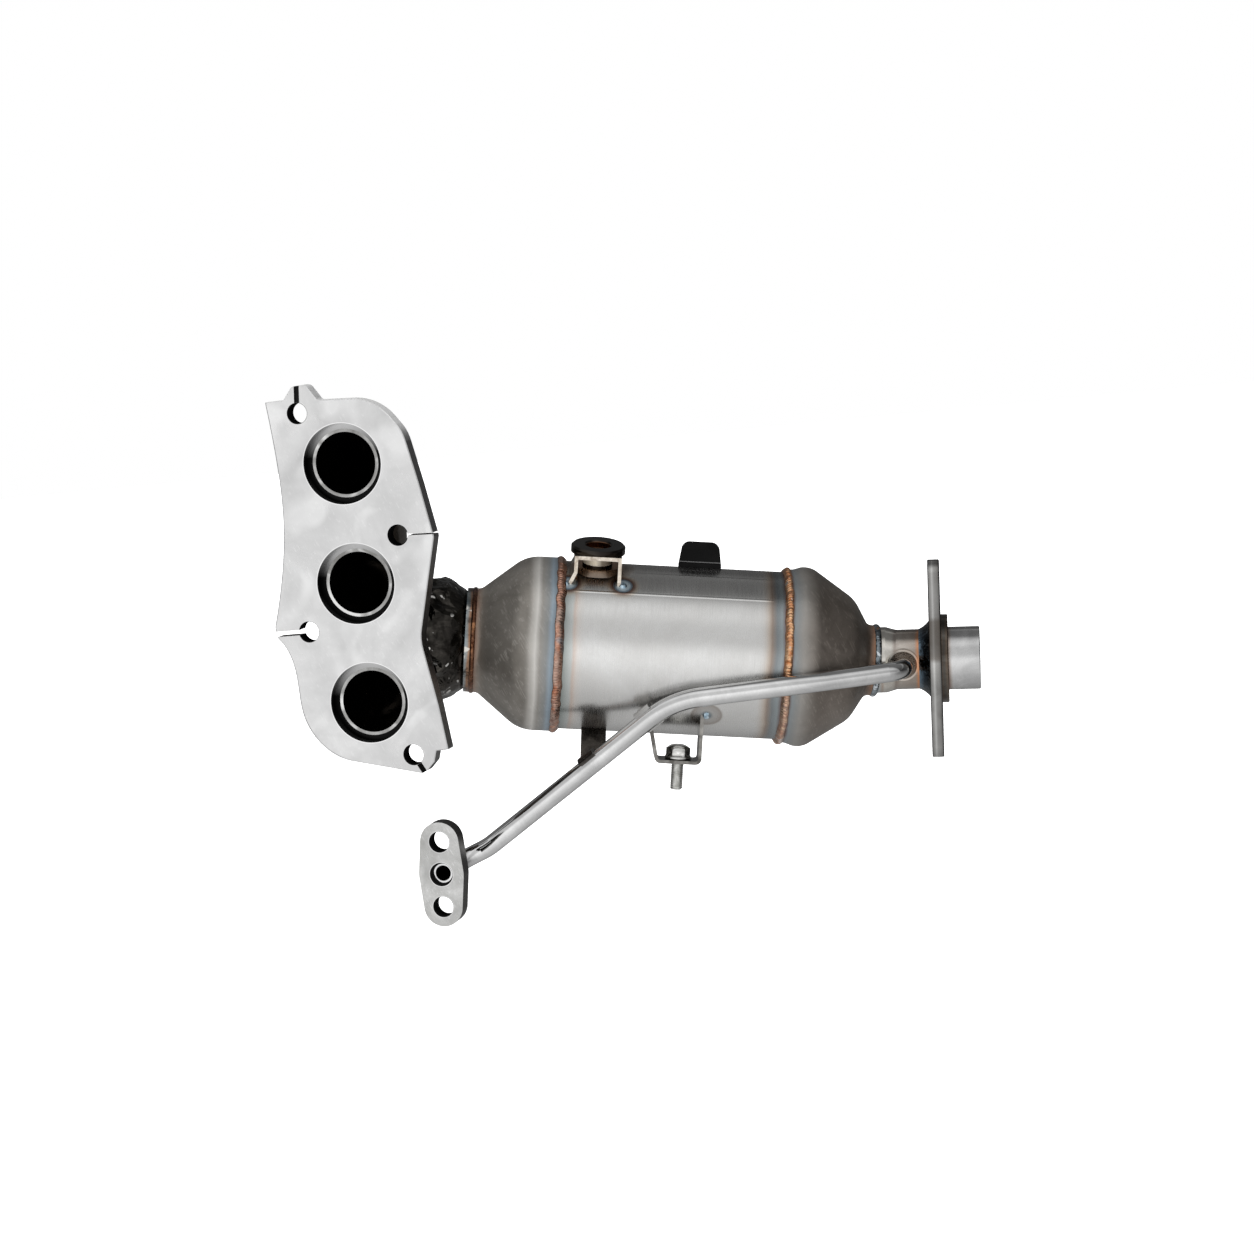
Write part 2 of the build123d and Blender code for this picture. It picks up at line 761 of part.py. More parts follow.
# U bracket under the can, a folded sheet with a splayed leg
bracket_floor = can_radius + bracket_drop
floor_plane = outward(can_frame, bracket_place, -90, bracket_floor)
bracket_front = can_radius - bracket_front_inset
bolt_front = bracket_front - bracket_width / 2
leg_tip = -math.sqrt(can_radius ** 2 - bracket_front ** 2) + sheet
with BuildPart() as u_bracket:
    with BuildSketch(can_frame.offset(bracket_front - bracket_width)):
        with BuildLine() as strip:
            Polyline(
                (bracket_place - bracket_span / 2 - bracket_splay, leg_tip),
                (bracket_place - bracket_span / 2, -bracket_floor),
                (bracket_place + bracket_span / 2, -bracket_floor),
                (bracket_place + bracket_span / 2, leg_tip),
            )
            fillet(strip.vertices().group_by(Axis.Y)[0], bracket_bend_radius)
            offset(amount=sheet, side=Side.LEFT)
        make_face()
    extrude(amount=bracket_width)
    clear_can()
    with BuildSketch(floor_plane):
        with Locations((0, bolt_front)):
            Circle(bolt_radius + bolt_clearance)
    extrude(amount=-2 * sheet, mode=Mode.SUBTRACT)
save(u_bracket, "u_bracket")

# Flanged bolt hanging through the bracket floor, with a relief between head and thread
with BuildPart() as bracket_bolt:
    with BuildSketch(floor_plane.offset(-sheet)):
        with Locations((0, bolt_front)):
            Circle(bolt_flange_radius)
    extrude(amount=-bolt_flange_thickness)
    with BuildSketch(floor_plane.offset(-sheet)):
        with Locations((0, bolt_front)):
            RegularPolygon(bolt_hex_flats / 2, 6, major_radius=False)
    extrude(amount=-bolt_head_height)
    crown = bracket_bolt.faces().sort_by(Axis(floor_plane.origin, floor_plane.z_dir))[0]
    chamfer(crown.edges(), bolt_head_round)
    with BuildSketch(floor_plane.offset(-sheet)):
        with Locations((0, bolt_front)):
            Circle(bolt_neck_radius)
    extrude(amount=sheet + bolt_neck_run)
    with BuildSketch(floor_plane.offset(bolt_neck_run)):
        with Locations((0, bolt_front)):
            Circle(bolt_radius)
    extrude(amount=bolt_thread_length - bolt_neck_run)
    tip = bracket_bolt.faces().sort_by(Axis(floor_plane.origin, floor_plane.z_dir))[-1]
    chamfer(tip.edges(), bolt_tip_chamfer)
save(bracket_bolt, "bracket_bolt")

# Weld beads between the skirts and the can
beads = []
for name, place, side in (
    ("can_inlet_bead", inlet_skirt_end, 1),
    ("can_outlet_bead", outlet_skirt_start, -1),
):
    with BuildPart() as bead:
        with BuildSketch(can_frame):
            with BuildLine():
                Polyline(
                    (place - side * bead_leg / 2, skirt_radius),
                    (place, skirt_radius),
                    (place, can_radius),
                    (place + side * bead_leg, can_radius),
                )
                ThreePointArc(
                    (place + side * bead_leg, can_radius),
                    (place + side * bead_leg / 3, skirt_radius + bead_height),
                    (place - side * bead_leg / 2, skirt_radius),
                )
            make_face()
        revolve(axis=can_line)
    save(bead, name)
    beads.append(bead.part)

# Narrow seam where the inlet cone is welded to the sleeve
with BuildPart() as neck_seam:
    with BuildSketch(can_frame):
        with BuildLine():
            Line(
                (sleeve_end - seam_half_width, neck_radius),
                (sleeve_end + seam_half_width, neck_radius),
            )
            ThreePointArc(
                (sleeve_end + seam_half_width, neck_radius),
                (sleeve_end, neck_radius + seam_height),
                (sleeve_end - seam_half_width, neck_radius),
            )
        make_face()
    revolve(axis=can_line)
save(neck_seam, "neck_seam")

# Bead between the lip of the outlet cone and the pipe
with BuildPart() as pipe_bead:
    with BuildSketch(can_frame):
        with BuildLine():
            Polyline(
                (lip_end, lip_radius),
                (lip_end, pipe_radius - pipe_wall),
                (lip_end + pipe_bead_length, pipe_radius - pipe_wall),
                (lip_end + pipe_bead_length, pipe_radius + lip_bite),
            )
            ThreePointArc(
                (lip_end + pipe_bead_length, pipe_radius + lip_bite),
                (lip_end + pipe_bead_length / 3, lip_radius + pipe_bead_height),
                (lip_end, lip_radius),
            )
        make_face()
    revolve(axis=can_line)
    with BuildSketch(along(outlet_frame, -pipe_insert)):
        Circle(pipe_radius)
    extrude(amount=pipe_insert + pipe_wide_length, mode=Mode.SUBTRACT)
save(pipe_bead, "pipe_bead")

# Hollow fillet weld between the pipe and the back of the outlet flange
with BuildPart() as flange_bead:
    with BuildSketch(outlet_frame):
        with BuildLine():
            Polyline(
                (flange_place - flange_bead_length, pipe_neck_radius),
                (flange_place, pipe_neck_radius),
                (flange_place, pipe_neck_radius + flange_bead_rise),
            )
            ThreePointArc(
                (flange_place, pipe_neck_radius + flange_bead_rise),
                (
                    flange_place - flange_bead_length * bead_hollow,
                    pipe_neck_radius + flange_bead_rise * (1 - bead_hollow) * bead_slack,
                ),
                (flange_place - flange_bead_length, pipe_neck_radius),
            )
        make_face()
    revolve(axis=outlet_line)
save(flange_bead, "flange_bead")

# Weld nuggets at the feet of the strap and the bracket
nugget_spots = (
    (boss_place - strap_span / 2 - strap_splay, boss_angle - strap_nugget_turn),
    (boss_place + strap_span / 2 + nugget_radius / 2, boss_angle - strap_nugget_turn),
    (bracket_place + bracket_span / 2 + nugget_radius / 2, bracket_nugget_angle),
)
with BuildPart() as foot_nuggets:
    for distance, angle in nugget_spots:
        with BuildSketch(outward(can_frame, distance, angle, can_radius - nugget_sink)):
            Circle(nugget_radius)
        extrude(amount=nugget_sink + nugget_height, taper=nugget_slope)
    clear_can()
    add(sensor_strap.part, mode=Mode.SUBTRACT)
    add(u_bracket.part, mode=Mode.SUBTRACT)
    add(beads[0], mode=Mode.SUBTRACT)
save(foot_nuggets, "foot_nuggets")
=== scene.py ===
import math

import bpy
from mathutils import Matrix, Vector, noise


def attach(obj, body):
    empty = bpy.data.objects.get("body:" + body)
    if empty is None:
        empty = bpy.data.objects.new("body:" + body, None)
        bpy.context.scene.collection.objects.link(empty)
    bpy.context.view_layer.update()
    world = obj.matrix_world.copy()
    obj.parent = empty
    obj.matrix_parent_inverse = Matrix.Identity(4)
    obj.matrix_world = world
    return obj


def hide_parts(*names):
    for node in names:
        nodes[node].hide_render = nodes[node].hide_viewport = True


# Looks for a manifold catalytic converter. Lengths are in metres, in the frame of the CAD,
# and the sizes of patterns in materials are in millimetres.
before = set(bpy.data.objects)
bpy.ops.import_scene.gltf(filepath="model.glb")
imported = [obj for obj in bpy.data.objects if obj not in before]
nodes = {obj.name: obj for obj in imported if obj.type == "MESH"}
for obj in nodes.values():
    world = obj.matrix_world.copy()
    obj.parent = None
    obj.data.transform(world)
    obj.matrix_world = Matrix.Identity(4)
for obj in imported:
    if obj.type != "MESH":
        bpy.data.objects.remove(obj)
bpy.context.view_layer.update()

# Axis of the can and of the outlet pipe, as in the CAD
CAN_PLACE = Vector((0.057, 0.070, -0.0505))
CAN_YAW = 15.2
CAN_PITCH = -9.1
OUTLET_START = 0.262
OUTLET_YAW = 7.4
OUTLET_PITCH = -3.7

# Can, cones and collector
CAN_RADIUS = 0.056
SKIRT_RADIUS = 0.058
INLET_SKIRT_END = 0.052
OUTLET_SKIRT_START = 0.203
BEAD_FOOT = CAN_RADIUS - 0.0004
HUB_PLACE = -0.032
HUB_RADIUS = 0.040
HUB_WALL = 0.0025
COLLECTOR_RADIUS = 0.0325
COLLECTOR_END = -0.005
RUNNER_BORE = 0.0205

# Sensor boss, strap, tab, bracket and bolt
BOSS_PLACE = 0.076
BOSS_ANGLE = 77.0
DOME_TOP = 0.0572
BOSS_TOP = 0.0713
BOSS_CROWN = 0.0663
SENSOR_THREAD = 0.00825
TAB_CREASE = 0.0598
BRACKET_PLACE = 0.1354
BRACKET_FLOOR = 0.0705
BRACKET_SHEET = 0.0023
BOLT_FRONT = 0.032

# Holes in the two flanges, each at an x and z
PORT_PITCH = 0.078
PORT_SEAT = 0.026
STUD_HOLE = 0.00675
STUDS = ((-0.0265, 0.113), (0.032, 0.029), (-0.0355, -0.0288), (0.026, -0.114))
RELIEF_CUTS = ((Vector((-0.0270, 0.006, 0.1240)), 0.0090), (Vector((0.0310, 0.006, -0.1235)), 0.0085))
TUBE_FLANGE = (0.0356, -0.1938)
TUBE_HOLES = ((0.03661, -0.17242), (0.03459, -0.21518))
TUBE_SEAT = 0.0076
TO_HEAD = (0, -1, 0)

# Camera: distance and place found from the photograph
CAMERA_PLACE = (0.63439, -1.83524, 0.15692)
CAMERA_AZIMUTH = 14.0
CAMERA_ELEVATION = 6.0
CAMERA_ROLL = 6.0
CAMERA_LENS = 86.12
FLOOR_HEIGHT = -0.236


def frame_of(place, yaw, pitch):
    """Matrix with x along a heading, y to the back and z up, at a place."""
    a = math.radians(yaw)
    b = math.radians(pitch)
    x = Vector((math.cos(b) * math.cos(a), math.cos(b) * math.sin(a), math.sin(b)))
    y = Vector((-math.sin(a), math.cos(a), 0))
    made = Matrix((x, y, x.cross(y))).transposed().to_4x4()
    made.translation = place
    return made


can = frame_of(CAN_PLACE, CAN_YAW, CAN_PITCH)
outlet = frame_of(can @ Vector((OUTLET_START, 0, 0)), OUTLET_YAW, OUTLET_PITCH)

# Frame with x up the axis of the sensor boss
boss = can @ Matrix.Translation((BOSS_PLACE, 0, 0)) @ Matrix.Rotation(
    math.radians(90 - BOSS_ANGLE), 4, "X"
) @ Matrix.Rotation(math.radians(-90), 4, "Y")


def ring_point(distance, radius, turn):
    """Point on a circle round the can, at a turn in radians upward from the front."""
    return can @ Vector((distance, -radius * math.cos(turn), radius * math.sin(turn)))


def on_can(distance, angle):
    """Point on the can's skin, at an angle in degrees above the front."""
    return ring_point(distance, CAN_RADIUS, math.radians(angle))


# Kinds of node, and the sockets of a mix of colours
MATH = "ShaderNodeMath"
VECTOR = "ShaderNodeVectorMath"
SPLIT = "ShaderNodeSeparateXYZ"
RANGE = "ShaderNodeMapRange"
RAMP = "ShaderNodeValToRGB"
NOISE = "ShaderNodeTexNoise"
GEOMETRY = "ShaderNodeNewGeometry"
MIX = "ShaderNodeMix"
SHARE, UNDER, OVER, MIXED = 0, 6, 7, 2


def colour(code):
    """Linear colour of an sRGB hex code."""
    parts = [int(code[i:i + 2], 16) / 255 for i in (0, 2, 4)]
    return [c / 12.92 if c <= 0.04045 else ((c + 0.055) / 1.055) ** 2.4 for c in parts] + [1.0]


def add(tree, kind, inputs=None, output=0, stops=(), **settings):
    """Adds a node with its settings, values and links, and returns one of its outputs.

    An input is another output, a number, a vector or a hex colour. Stops belong to a colour
    ramp; each is a place from 0 to 1 with a hex colour or a grey level.
    """
    made = tree.nodes.new(kind)
    for key, value in settings.items():
        setattr(made, key, value)
    for key, value in (inputs or {}).items():
        if isinstance(value, bpy.types.NodeSocket):
            tree.links.new(value, made.inputs[key])
        else:
            made.inputs[key].default_value = colour(value) if isinstance(value, str) else value
    if stops:
        band = made.color_ramp.elements
        while len(band) < len(stops):
            band.new(0.5)
        for element, (place, shade) in zip(band, stops):
            element.position = place
            element.color = colour(shade) if isinstance(shade, str) else (shade, shade, shade, 1)
    return made.outputs[output]


def place_in(tree, matrix=None):
    """Position in the row frame, or along, behind and above in another frame."""
    place = add(tree, "ShaderNodeTexCoord", output="Object")
    if matrix is None:
        return place
    back = matrix.inverted()
    axes = {}
    for axis in range(3):
        turned = add(
            tree, VECTOR, {0: place, 1: back[axis].to_3d()}, "Value", operation="DOT_PRODUCT",
        )
        axes[axis] = add(tree, MATH, {0: turned, 1: back[axis][3]}, operation="ADD")
    return add(tree, "ShaderNodeCombineXYZ", axes)


def turn_to(tree, direction):
    """How far a face looks in a direction, from -1 to 1."""
    normal = add(tree, GEOMETRY, output="Normal")
    return add(tree, VECTOR, {0: normal, 1: direction}, "Value", operation="DOT_PRODUCT")


def clouds(tree, place, size, low, high, least=0.0, most=1.0, detail=3.0, rough=0.55, warp=0.0):
    """Noise of a real size in millimetres, spread over the values from least to most."""
    grains = add(tree, NOISE, {
        "Vector": place, "Scale": 1000 / size, "Detail": detail, "Roughness": rough,
        "Distortion": warp,
    })
    return add(tree, RANGE, {0: grains, 1: low, 2: high, 3: least, 4: most})


def stretch(tree, value, start, end, fade, strength=1.0):
    """A share between two values, which fades outside them."""
    first = add(tree, RANGE, {0: value, 1: start - fade, 2: start})
    last = add(tree, RANGE, {0: value, 1: end, 2: end + fade, 3: strength, 4: 0.0})
    return add(tree, MATH, {0: first, 1: last}, operation="MULTIPLY")


def metal(name, light, dark, rough, own_frame=None, patch=22.2, grain=None, dent=None,
          scratch=None, coats=(), metallic=1.0, specular=0.5, relief=None, painted_dulling=None):
    """Bare or dark metal with mottling, grain, dents, scratches and coats of colour.

    light and dark are the mottled colours, rough the limits of roughness and patch the size
    of the mottling. grain is its size along each axis of own_frame, its depth and how much
    it darkens. dent is a size and a depth. scratch is a size, a width, a depth, a strength
    and a colour. A coat takes the tree and the place and returns shares with their tones.
    relief returns heights, and the last argument returns a share where the metal is made dull so that
    its painted colour shows: painted shade in holes and on faces that look up, and a painted bright neck
    on the boss.
    """
    made = bpy.data.materials.new(name)
    made.use_nodes = True
    tree = made.node_tree
    shader = tree.nodes["Principled BSDF"]
    place = place_in(tree)
    roughness = clouds(tree, place, patch / 1.7, 0.3, 0.7, *rough, detail=6.0)
    layers = [
        (clouds(tree, place, patch, 0.36, 0.66, detail=5.0, rough=0.6, warp=0.6), light),
        (clouds(tree, place, patch / 22, 0.3, 0.7, 0.0, 0.25), dark),
    ]
    heights = []
    if grain:
        sizes, depth, darkening = grain
        drawn = add(tree, VECTOR, {
            0: place_in(tree, own_frame), 1: [1000 / size for size in sizes],
        }, operation="MULTIPLY")
        lines = add(tree, NOISE, {"Vector": drawn, "Scale": 1.0, "Detail": 4.0, "Roughness": 0.7})
        heights.append(add(tree, MATH, {0: lines, 1: depth / 1000}, operation="MULTIPLY"))
        change = add(tree, RANGE, {0: lines, 1: 0.3, 2: 0.7, 3: -0.06, 4: 0.06})
        roughness = add(tree, MATH, {0: roughness, 1: change}, operation="ADD")
        layers.append((add(tree, RANGE, {0: lines, 1: 0.35, 2: 0.75, 3: 0.0, 4: darkening}), dark))
    if dent:
        size, depth = dent
        heights.append(clouds(
            tree, place, size, 0.0, 1.0, 0.0, depth / 1000, detail=2.0, rough=0.5, warp=0.8,
        ))
    if scratch:
        size, width, depth, strength, worn = scratch
        thin = scratched(tree, place, size, width)
        heights.append(add(tree, MATH, {0: thin, 1: -depth / 1000}, operation="MULTIPLY"))
        layers.append((add(tree, MATH, {0: thin, 1: strength}, operation="MULTIPLY"), worn))
    if relief:
        heights += relief(tree)
    for coat in coats:
        layers += coat(tree, place)
    shade = dark
    for share, tone in layers:
        shade = add(tree, MIX, {SHARE: share, UNDER: shade, OVER: tone}, MIXED, data_type="RGBA")
    tree.links.new(shade, shader.inputs["Base Color"])
    shader.inputs["Metallic"].default_value = metallic
    shader.inputs["Specular IOR Level"].default_value = specular
    if painted_dulling:
        dull_share = painted_dulling(tree, place)
        kept = add(tree, MATH, {0: 1.0, 1: dull_share}, operation="SUBTRACT")
        dull = add(tree, MATH, {0: dull_share, 1: 0.9}, operation="MULTIPLY")
        roughness = add(tree, MATH, {0: roughness, 1: dull}, operation="MAXIMUM")
        for socket, most in (("Metallic", metallic), ("Specular IOR Level", specular)):
            left = add(tree, MATH, {0: kept, 1: most}, operation="MULTIPLY")
            tree.links.new(left, shader.inputs[socket])
    tree.links.new(roughness, shader.inputs["Roughness"])
    if heights:
        height = heights[0]
        for more in heights[1:]:
            height = add(tree, MATH, {0: height, 1: more}, operation="ADD")
        bump = add(tree, "ShaderNodeBump", {"Strength": 1.0, "Distance": 1.0, "Height": height})
        tree.links.new(bump, shader.inputs["Normal"])
    return made


def scratched(tree, place, size, width):
    """Thin slanted scratches in loose groups, one on a scratch and nothing beside it."""
    slanted = add(tree, "ShaderNodeCombineXYZ", {
        0: add(tree, VECTOR, {0: place, 1: (0.92, 0.30, 0.39)}, "Value", operation="DOT_PRODUCT"),
        1: add(tree, VECTOR, {0: place, 1: (-0.03, 0.06, 0.05)}, "Value", operation="DOT_PRODUCT"),
    })
    drawn = add(tree, NOISE, {
        "Vector": slanted, "Scale": 1000 / size, "Detail": 2.0, "Roughness": 0.5,
    })
    off = add(tree, MATH, {0: drawn, 1: 0.5}, operation="SUBTRACT")
    off = add(tree, MATH, {0: off}, operation="ABSOLUTE")
    thin = add(tree, RANGE, {0: off, 1: 0.0, 2: width, 3: 1.0, 4: 0.0})
    group = clouds(tree, place, size * 2.2, 0.50, 0.60, detail=1.0)
    return add(tree, MATH, {0: thin, 1: group}, operation="MULTIPLY")


# Coats: each returns shares of the surface with the tones that cover them
def banded(matrix, bands, wander=0.0012):
    """Bands of heat colour along a frame; each is a place, a hex colour and a strength."""
    def coat(tree, place):
        along = add(tree, SPLIT, {0: place_in(tree, matrix)}, 0)
        drift = clouds(tree, place, 33.3, 0.2, 0.8, -wander, wander)
        start, end = bands[0][0], bands[-1][0]
        share = add(tree, RANGE, {
            0: add(tree, MATH, {0: along, 1: drift}, operation="ADD"), 1: start, 2: end,
        })
        tones = [((at - start) / (end - start), code) for at, code, _ in bands]
        strengths = [((at - start) / (end - start), strength) for at, _, strength in bands]
        return [(add(tree, RAMP, {0: share}, stops=strengths), add(tree, RAMP, {0: share}, stops=tones))]
    return coat


def haloed(rings, spots):
    """Rings of heat colour round points; each ring is a share of the radius, a colour and a
    strength, and each spot a point and a radius."""
    def coat(tree, place):
        made = []
        for point, radius in spots:
            away = add(tree, VECTOR, {0: place, 1: point}, "Value", operation="DISTANCE")
            share = add(tree, RANGE, {0: away, 1: 0.0, 2: radius})
            strengths = [(at, strength) for at, _, strength in rings]
            tones = [(at, code) for at, code, _ in rings]
            made.append((
                add(tree, RAMP, {0: share}, stops=strengths),
                add(tree, RAMP, {0: share}, stops=tones),
            ))
        return made
    return coat


def patchy(tone, size, low, high, strength):
    """Clouds of another tone."""
    def coat(tree, place):
        share = clouds(tree, place, size, low, high, 0.0, strength, detail=2.0, rough=0.5, warp=0.5)
        return [(share, tone)]
    return coat


def painted_bevel_and_sides(bevel, side):
    """Keeps the colour on faces that look to the head, with another tone painted on the bevel as a
    highlight and another painted on the sides as shade.
    """
    def coat(tree, place):
        turn = turn_to(tree, TO_HEAD)
        return [
            (add(tree, RANGE, {0: turn, 1: 0.86, 2: 0.92, 3: 1.0, 4: 0.0}), bevel),
            (add(tree, RANGE, {0: turn, 1: 0.40, 2: 0.50, 3: 1.0, 4: 0.0}), side),
        ]
    return coat


def painted_top_shade(tone):
    """Painted shade: another tone on faces that look up."""
    def coat(tree, place):
        return [(add(tree, RANGE, {0: turn_to(tree, (0, 0, 1)), 1: 0.20, 2: 0.60}), tone)]
    return coat


def painted_bevel_shading(matrix, bevel):
    """Painted shading: another tone on the bevels between the rim of a plate and its two faces, across a
    frame's axis.
    """
    def coat(tree, place):
        turn = add(tree, MATH, {0: turn_to(tree, matrix.col[0].to_3d())}, operation="ABSOLUTE")
        return [(stretch(tree, turn, 0.50, 0.86, 0.08), bevel)]
    return coat


def depth_of_hole(tree, place, x, z, radius):
    """Distance from the axis of a round hole through a plate, and a share inside it."""
    flat = add(tree, VECTOR, {0: place, 1: (1.0, 0.0, 1.0)}, operation="MULTIPLY")
    away = add(tree, VECTOR, {0: flat, 1: (x, 0.0, z)}, "Value", operation="DISTANCE")
    deep = add(tree, RANGE, {0: away, 1: radius + 0.00015, 2: radius + 0.0003, 3: 1.0, 4: 0.0})
    return away, deep


def painted_hole_shading(spots, inner, rim, rim_width, upper=None):
    """Painted shade inside round holes, each at an x and z with a radius, a painted highlight on the rim
    and, where asked, a painted reflection high on the wall.
    """
    def coat(tree, place):
        made = []
        for x, z, radius in spots:
            away, deep = depth_of_hole(tree, place, x, z, radius)
            edge = radius + rim_width
            made += [
                (add(tree, RANGE, {0: away, 1: edge, 2: edge + 0.0004, 3: 0.85, 4: 0.0}), rim),
                (deep, inner),
            ]
            if upper:
                height = add(tree, SPLIT, {0: place}, 2)
                rise = add(tree, RANGE, {0: height, 1: z + radius * 0.2, 2: z + radius})
                made.append((add(tree, MATH, {0: deep, 1: rise}, operation="MULTIPLY"), upper))
        return made
    return coat


def painted_slot_shade(spots, tone):
    """Painted shade: another tone on the walls of cuts near points, each a point and a reach."""
    def coat(tree, place):
        wall = add(tree, RANGE, {0: turn_to(tree, TO_HEAD), 1: 0.40, 2: 0.50, 3: 1.0, 4: 0.0})
        made = []
        for point, radius in spots:
            away = add(tree, VECTOR, {0: place, 1: point}, "Value", operation="DISTANCE")
            near = add(tree, RANGE, {0: away, 1: radius, 2: radius + 0.001, 3: 1.0, 4: 0.0})
            made.append((add(tree, MATH, {0: near, 1: wall}, operation="MULTIPLY"), tone))
        return made
    return coat


def zoned(matrix, axis, start, end, fade, tone, strength):
    """Another tone between two places along one axis of a frame."""
    def coat(tree, place):
        value = add(tree, SPLIT, {0: place_in(tree, matrix)}, axis)
        drift = clouds(tree, place, 25.0, 0.2, 0.8, -fade / 2, fade / 2)
        value = add(tree, MATH, {0: value, 1: drift}, operation="ADD")
        return [(stretch(tree, value, start, end, fade, strength), tone)]
    return coat


def cored(matrix, radius, tone):
    """Another tone inside a radius round the long axis of a frame."""
    def coat(tree, place):
        flat = add(tree, VECTOR, {
            0: place_in(tree, matrix), 1: (0.0, 1.0, 1.0),
        }, operation="MULTIPLY")
        away = add(tree, VECTOR, {0: flat}, "Value", operation="LENGTH")
        inside = add(tree, RANGE, {
            0: away, 1: radius + 0.0001, 2: radius + 0.0004, 3: 1.0, 4: 0.0,
        })
        return [(inside, tone)]
    return coat


def turn_round_can(tree):
    """Angle above the front round the can, and the distance along it."""
    local = place_in(tree, can)
    front = add(tree, MATH, {0: add(tree, SPLIT, {0: local}, 1), 1: -1.0}, operation="MULTIPLY")
    height = add(tree, SPLIT, {0: local}, 2)
    return add(tree, MATH, {0: height, 1: front}, operation="ARCTAN2"), add(tree, SPLIT, {0: local}, 0)


def shaded_above(angle, tone, strength):
    """Painted shade: another tone on the can above an angle."""
    def coat(tree, place):
        turn, _ = turn_round_can(tree)
        start = math.radians(angle)
        return [(add(tree, RANGE, {0: turn, 1: start, 2: start + 0.02, 3: 0.0, 4: strength}), tone)]
    return coat


# Reliefs, which return heights
def raised_line(tree, value, spot, half, height):
    """A line of a height where a value passes a spot."""
    off = add(tree, MATH, {0: value, 1: spot}, operation="SUBTRACT")
    off = add(tree, MATH, {0: off}, operation="ABSOLUTE")
    return add(tree, RANGE, {0: off, 1: 0.0, 2: half, 3: height, 4: 0.0})


def pressed_lines(lines):
    """Raised lines along the can; each is an angle, a start, an end, a half width, a height."""
    def relief(tree):
        turn, along = turn_round_can(tree)
        made = []
        for angle, start, end, half, height in lines:
            line = raised_line(tree, turn, math.radians(angle), half / CAN_RADIUS, height)
            length = stretch(tree, along, start + 0.006, end - 0.006, 0.006)
            made.append(add(tree, MATH, {0: line, 1: length}, operation="MULTIPLY"))
        return made
    return relief


def crease(matrix, axis, spot, half, height):
    """Raised line across one axis of a frame."""
    def relief(tree):
        value = add(tree, SPLIT, {0: place_in(tree, matrix)}, axis)
        return [raised_line(tree, value, spot, half, height)]
    return relief


# Dulling, which returns the share where the metal is made dull so that its painted colour shows, as
# painted shade or a painted bright neck
def inside_holes(spots, edges_too=False):
    """Painted shade: the metal is made dull inside round holes and, where asked, on faces that look up,
    so their painted colour shows.
    """
    def painted_dulling(tree, place):
        total = 0.0
        if edges_too:
            total = add(tree, RANGE, {0: turn_to(tree, (0, 0, 1)), 1: 0.20, 2: 0.60})
        for x, z, radius in spots:
            _, deep = depth_of_hole(tree, place, x, z, radius)
            total = add(tree, MATH, {0: deep, 1: total}, operation="MAXIMUM")
        return total
    return painted_dulling


def painted_bright_neck(tree, place):
    """Painted brightness: the neck of the boss below its crown is made partly dull, so its pale colour
    shows bright in place of reflections.
    """
    height = add(tree, SPLIT, {0: place_in(tree, boss)}, 0)
    return stretch(tree, height, DOME_TOP + 0.0020, BOSS_CROWN, 0.0002, 0.6)


# Rings of heat colour, each a share of the radius, a colour and a strength
BRIGHT_RINGS = (
    (0.0, "eef6fa", 0.95), (0.34, "cfe0ea", 0.92), (0.44, "7c90a0", 0.90),
    (0.54, "5a3a2a", 0.90), (0.64, "7e5a44", 0.70), (0.76, "b8a48c", 0.45), (1.0, "c8c6c2", 0.0),
)
GREY_RINGS = (
    (0.0, "c4cccf", 0.9), (0.26, "7a8286", 0.85), (0.42, "9c9a96", 0.6),
    (0.70, "8e8680", 0.6), (0.86, "74665a", 0.6), (1.0, "c8c6c2", 0.0),
)
SMOKE_RINGS = (
    (0.0, "9a8876", 0.92), (0.50, "a8805e", 0.92), (0.60, "8a7766", 0.90),
    (0.72, "6a5c50", 0.85), (0.90, "8a7868", 0.40), (1.0, "c8c6c2", 0.0),
)
STRAP_FEET = ((on_can(0.0572, 52.5), 0.0125), (on_can(0.0930, 52.5), 0.0125))
BRACKET_FOOT = (on_can(0.1520, -42.0), 0.0115)
BOSS_DOME = (on_can(BOSS_PLACE, BOSS_ANGLE), 0.0265)
PORTS = [(0.0, PORT_PITCH * k, PORT_SEAT) for k in (1, 0, -1)]
STUD_HOLES = [(x, z, STUD_HOLE) for x, z in STUDS]
TUBE_BOLT_HOLES = [(x, z, STUD_HOLE) for x, z in TUBE_HOLES]
TUBE_PORT = [(*TUBE_FLANGE, TUBE_SEAT)]

# Finishes. Real rolling and turning lines are about 0.1 mm apart; they are drawn at 0.45 to
# 1.1 mm, so that they show in the render

# Ground mild steel face: pale and even with faint clouds; painted shade darkens the sides and the faces
# that look up and blackens the walls of holes and cuts, with painted highlights on the bevels and hole
# rims and a painted reflection high in the ports
flange_face = metal(
    "ground_flange_steel", "dcdcdc", "c4c4c4", (0.22, 0.42), patch=66.7,
    dent=(25.0, 0.12), scratch=(1.61, 0.03, 0.01, 0.30, "f0f0f0"),
    coats=(
        patchy("f0f0f0", 33.3, 0.52, 0.64, 0.42), patchy("a8a8a8", 45.5, 0.54, 0.70, 0.30),
        painted_bevel_and_sides("f4f4f4", "8a8a8a"), painted_top_shade("a8a8a8"), painted_slot_shade(RELIEF_CUTS, "101010"),
        painted_hole_shading(PORTS, "141414", "f4f4f4", 0.0005, upper="b8b8b8"),
        painted_hole_shading(STUD_HOLES, "0e0e0e", "d8d8d8", 0.0002),
    ),
    painted_dulling=inside_holes(STUD_HOLES, edges_too=True),
)
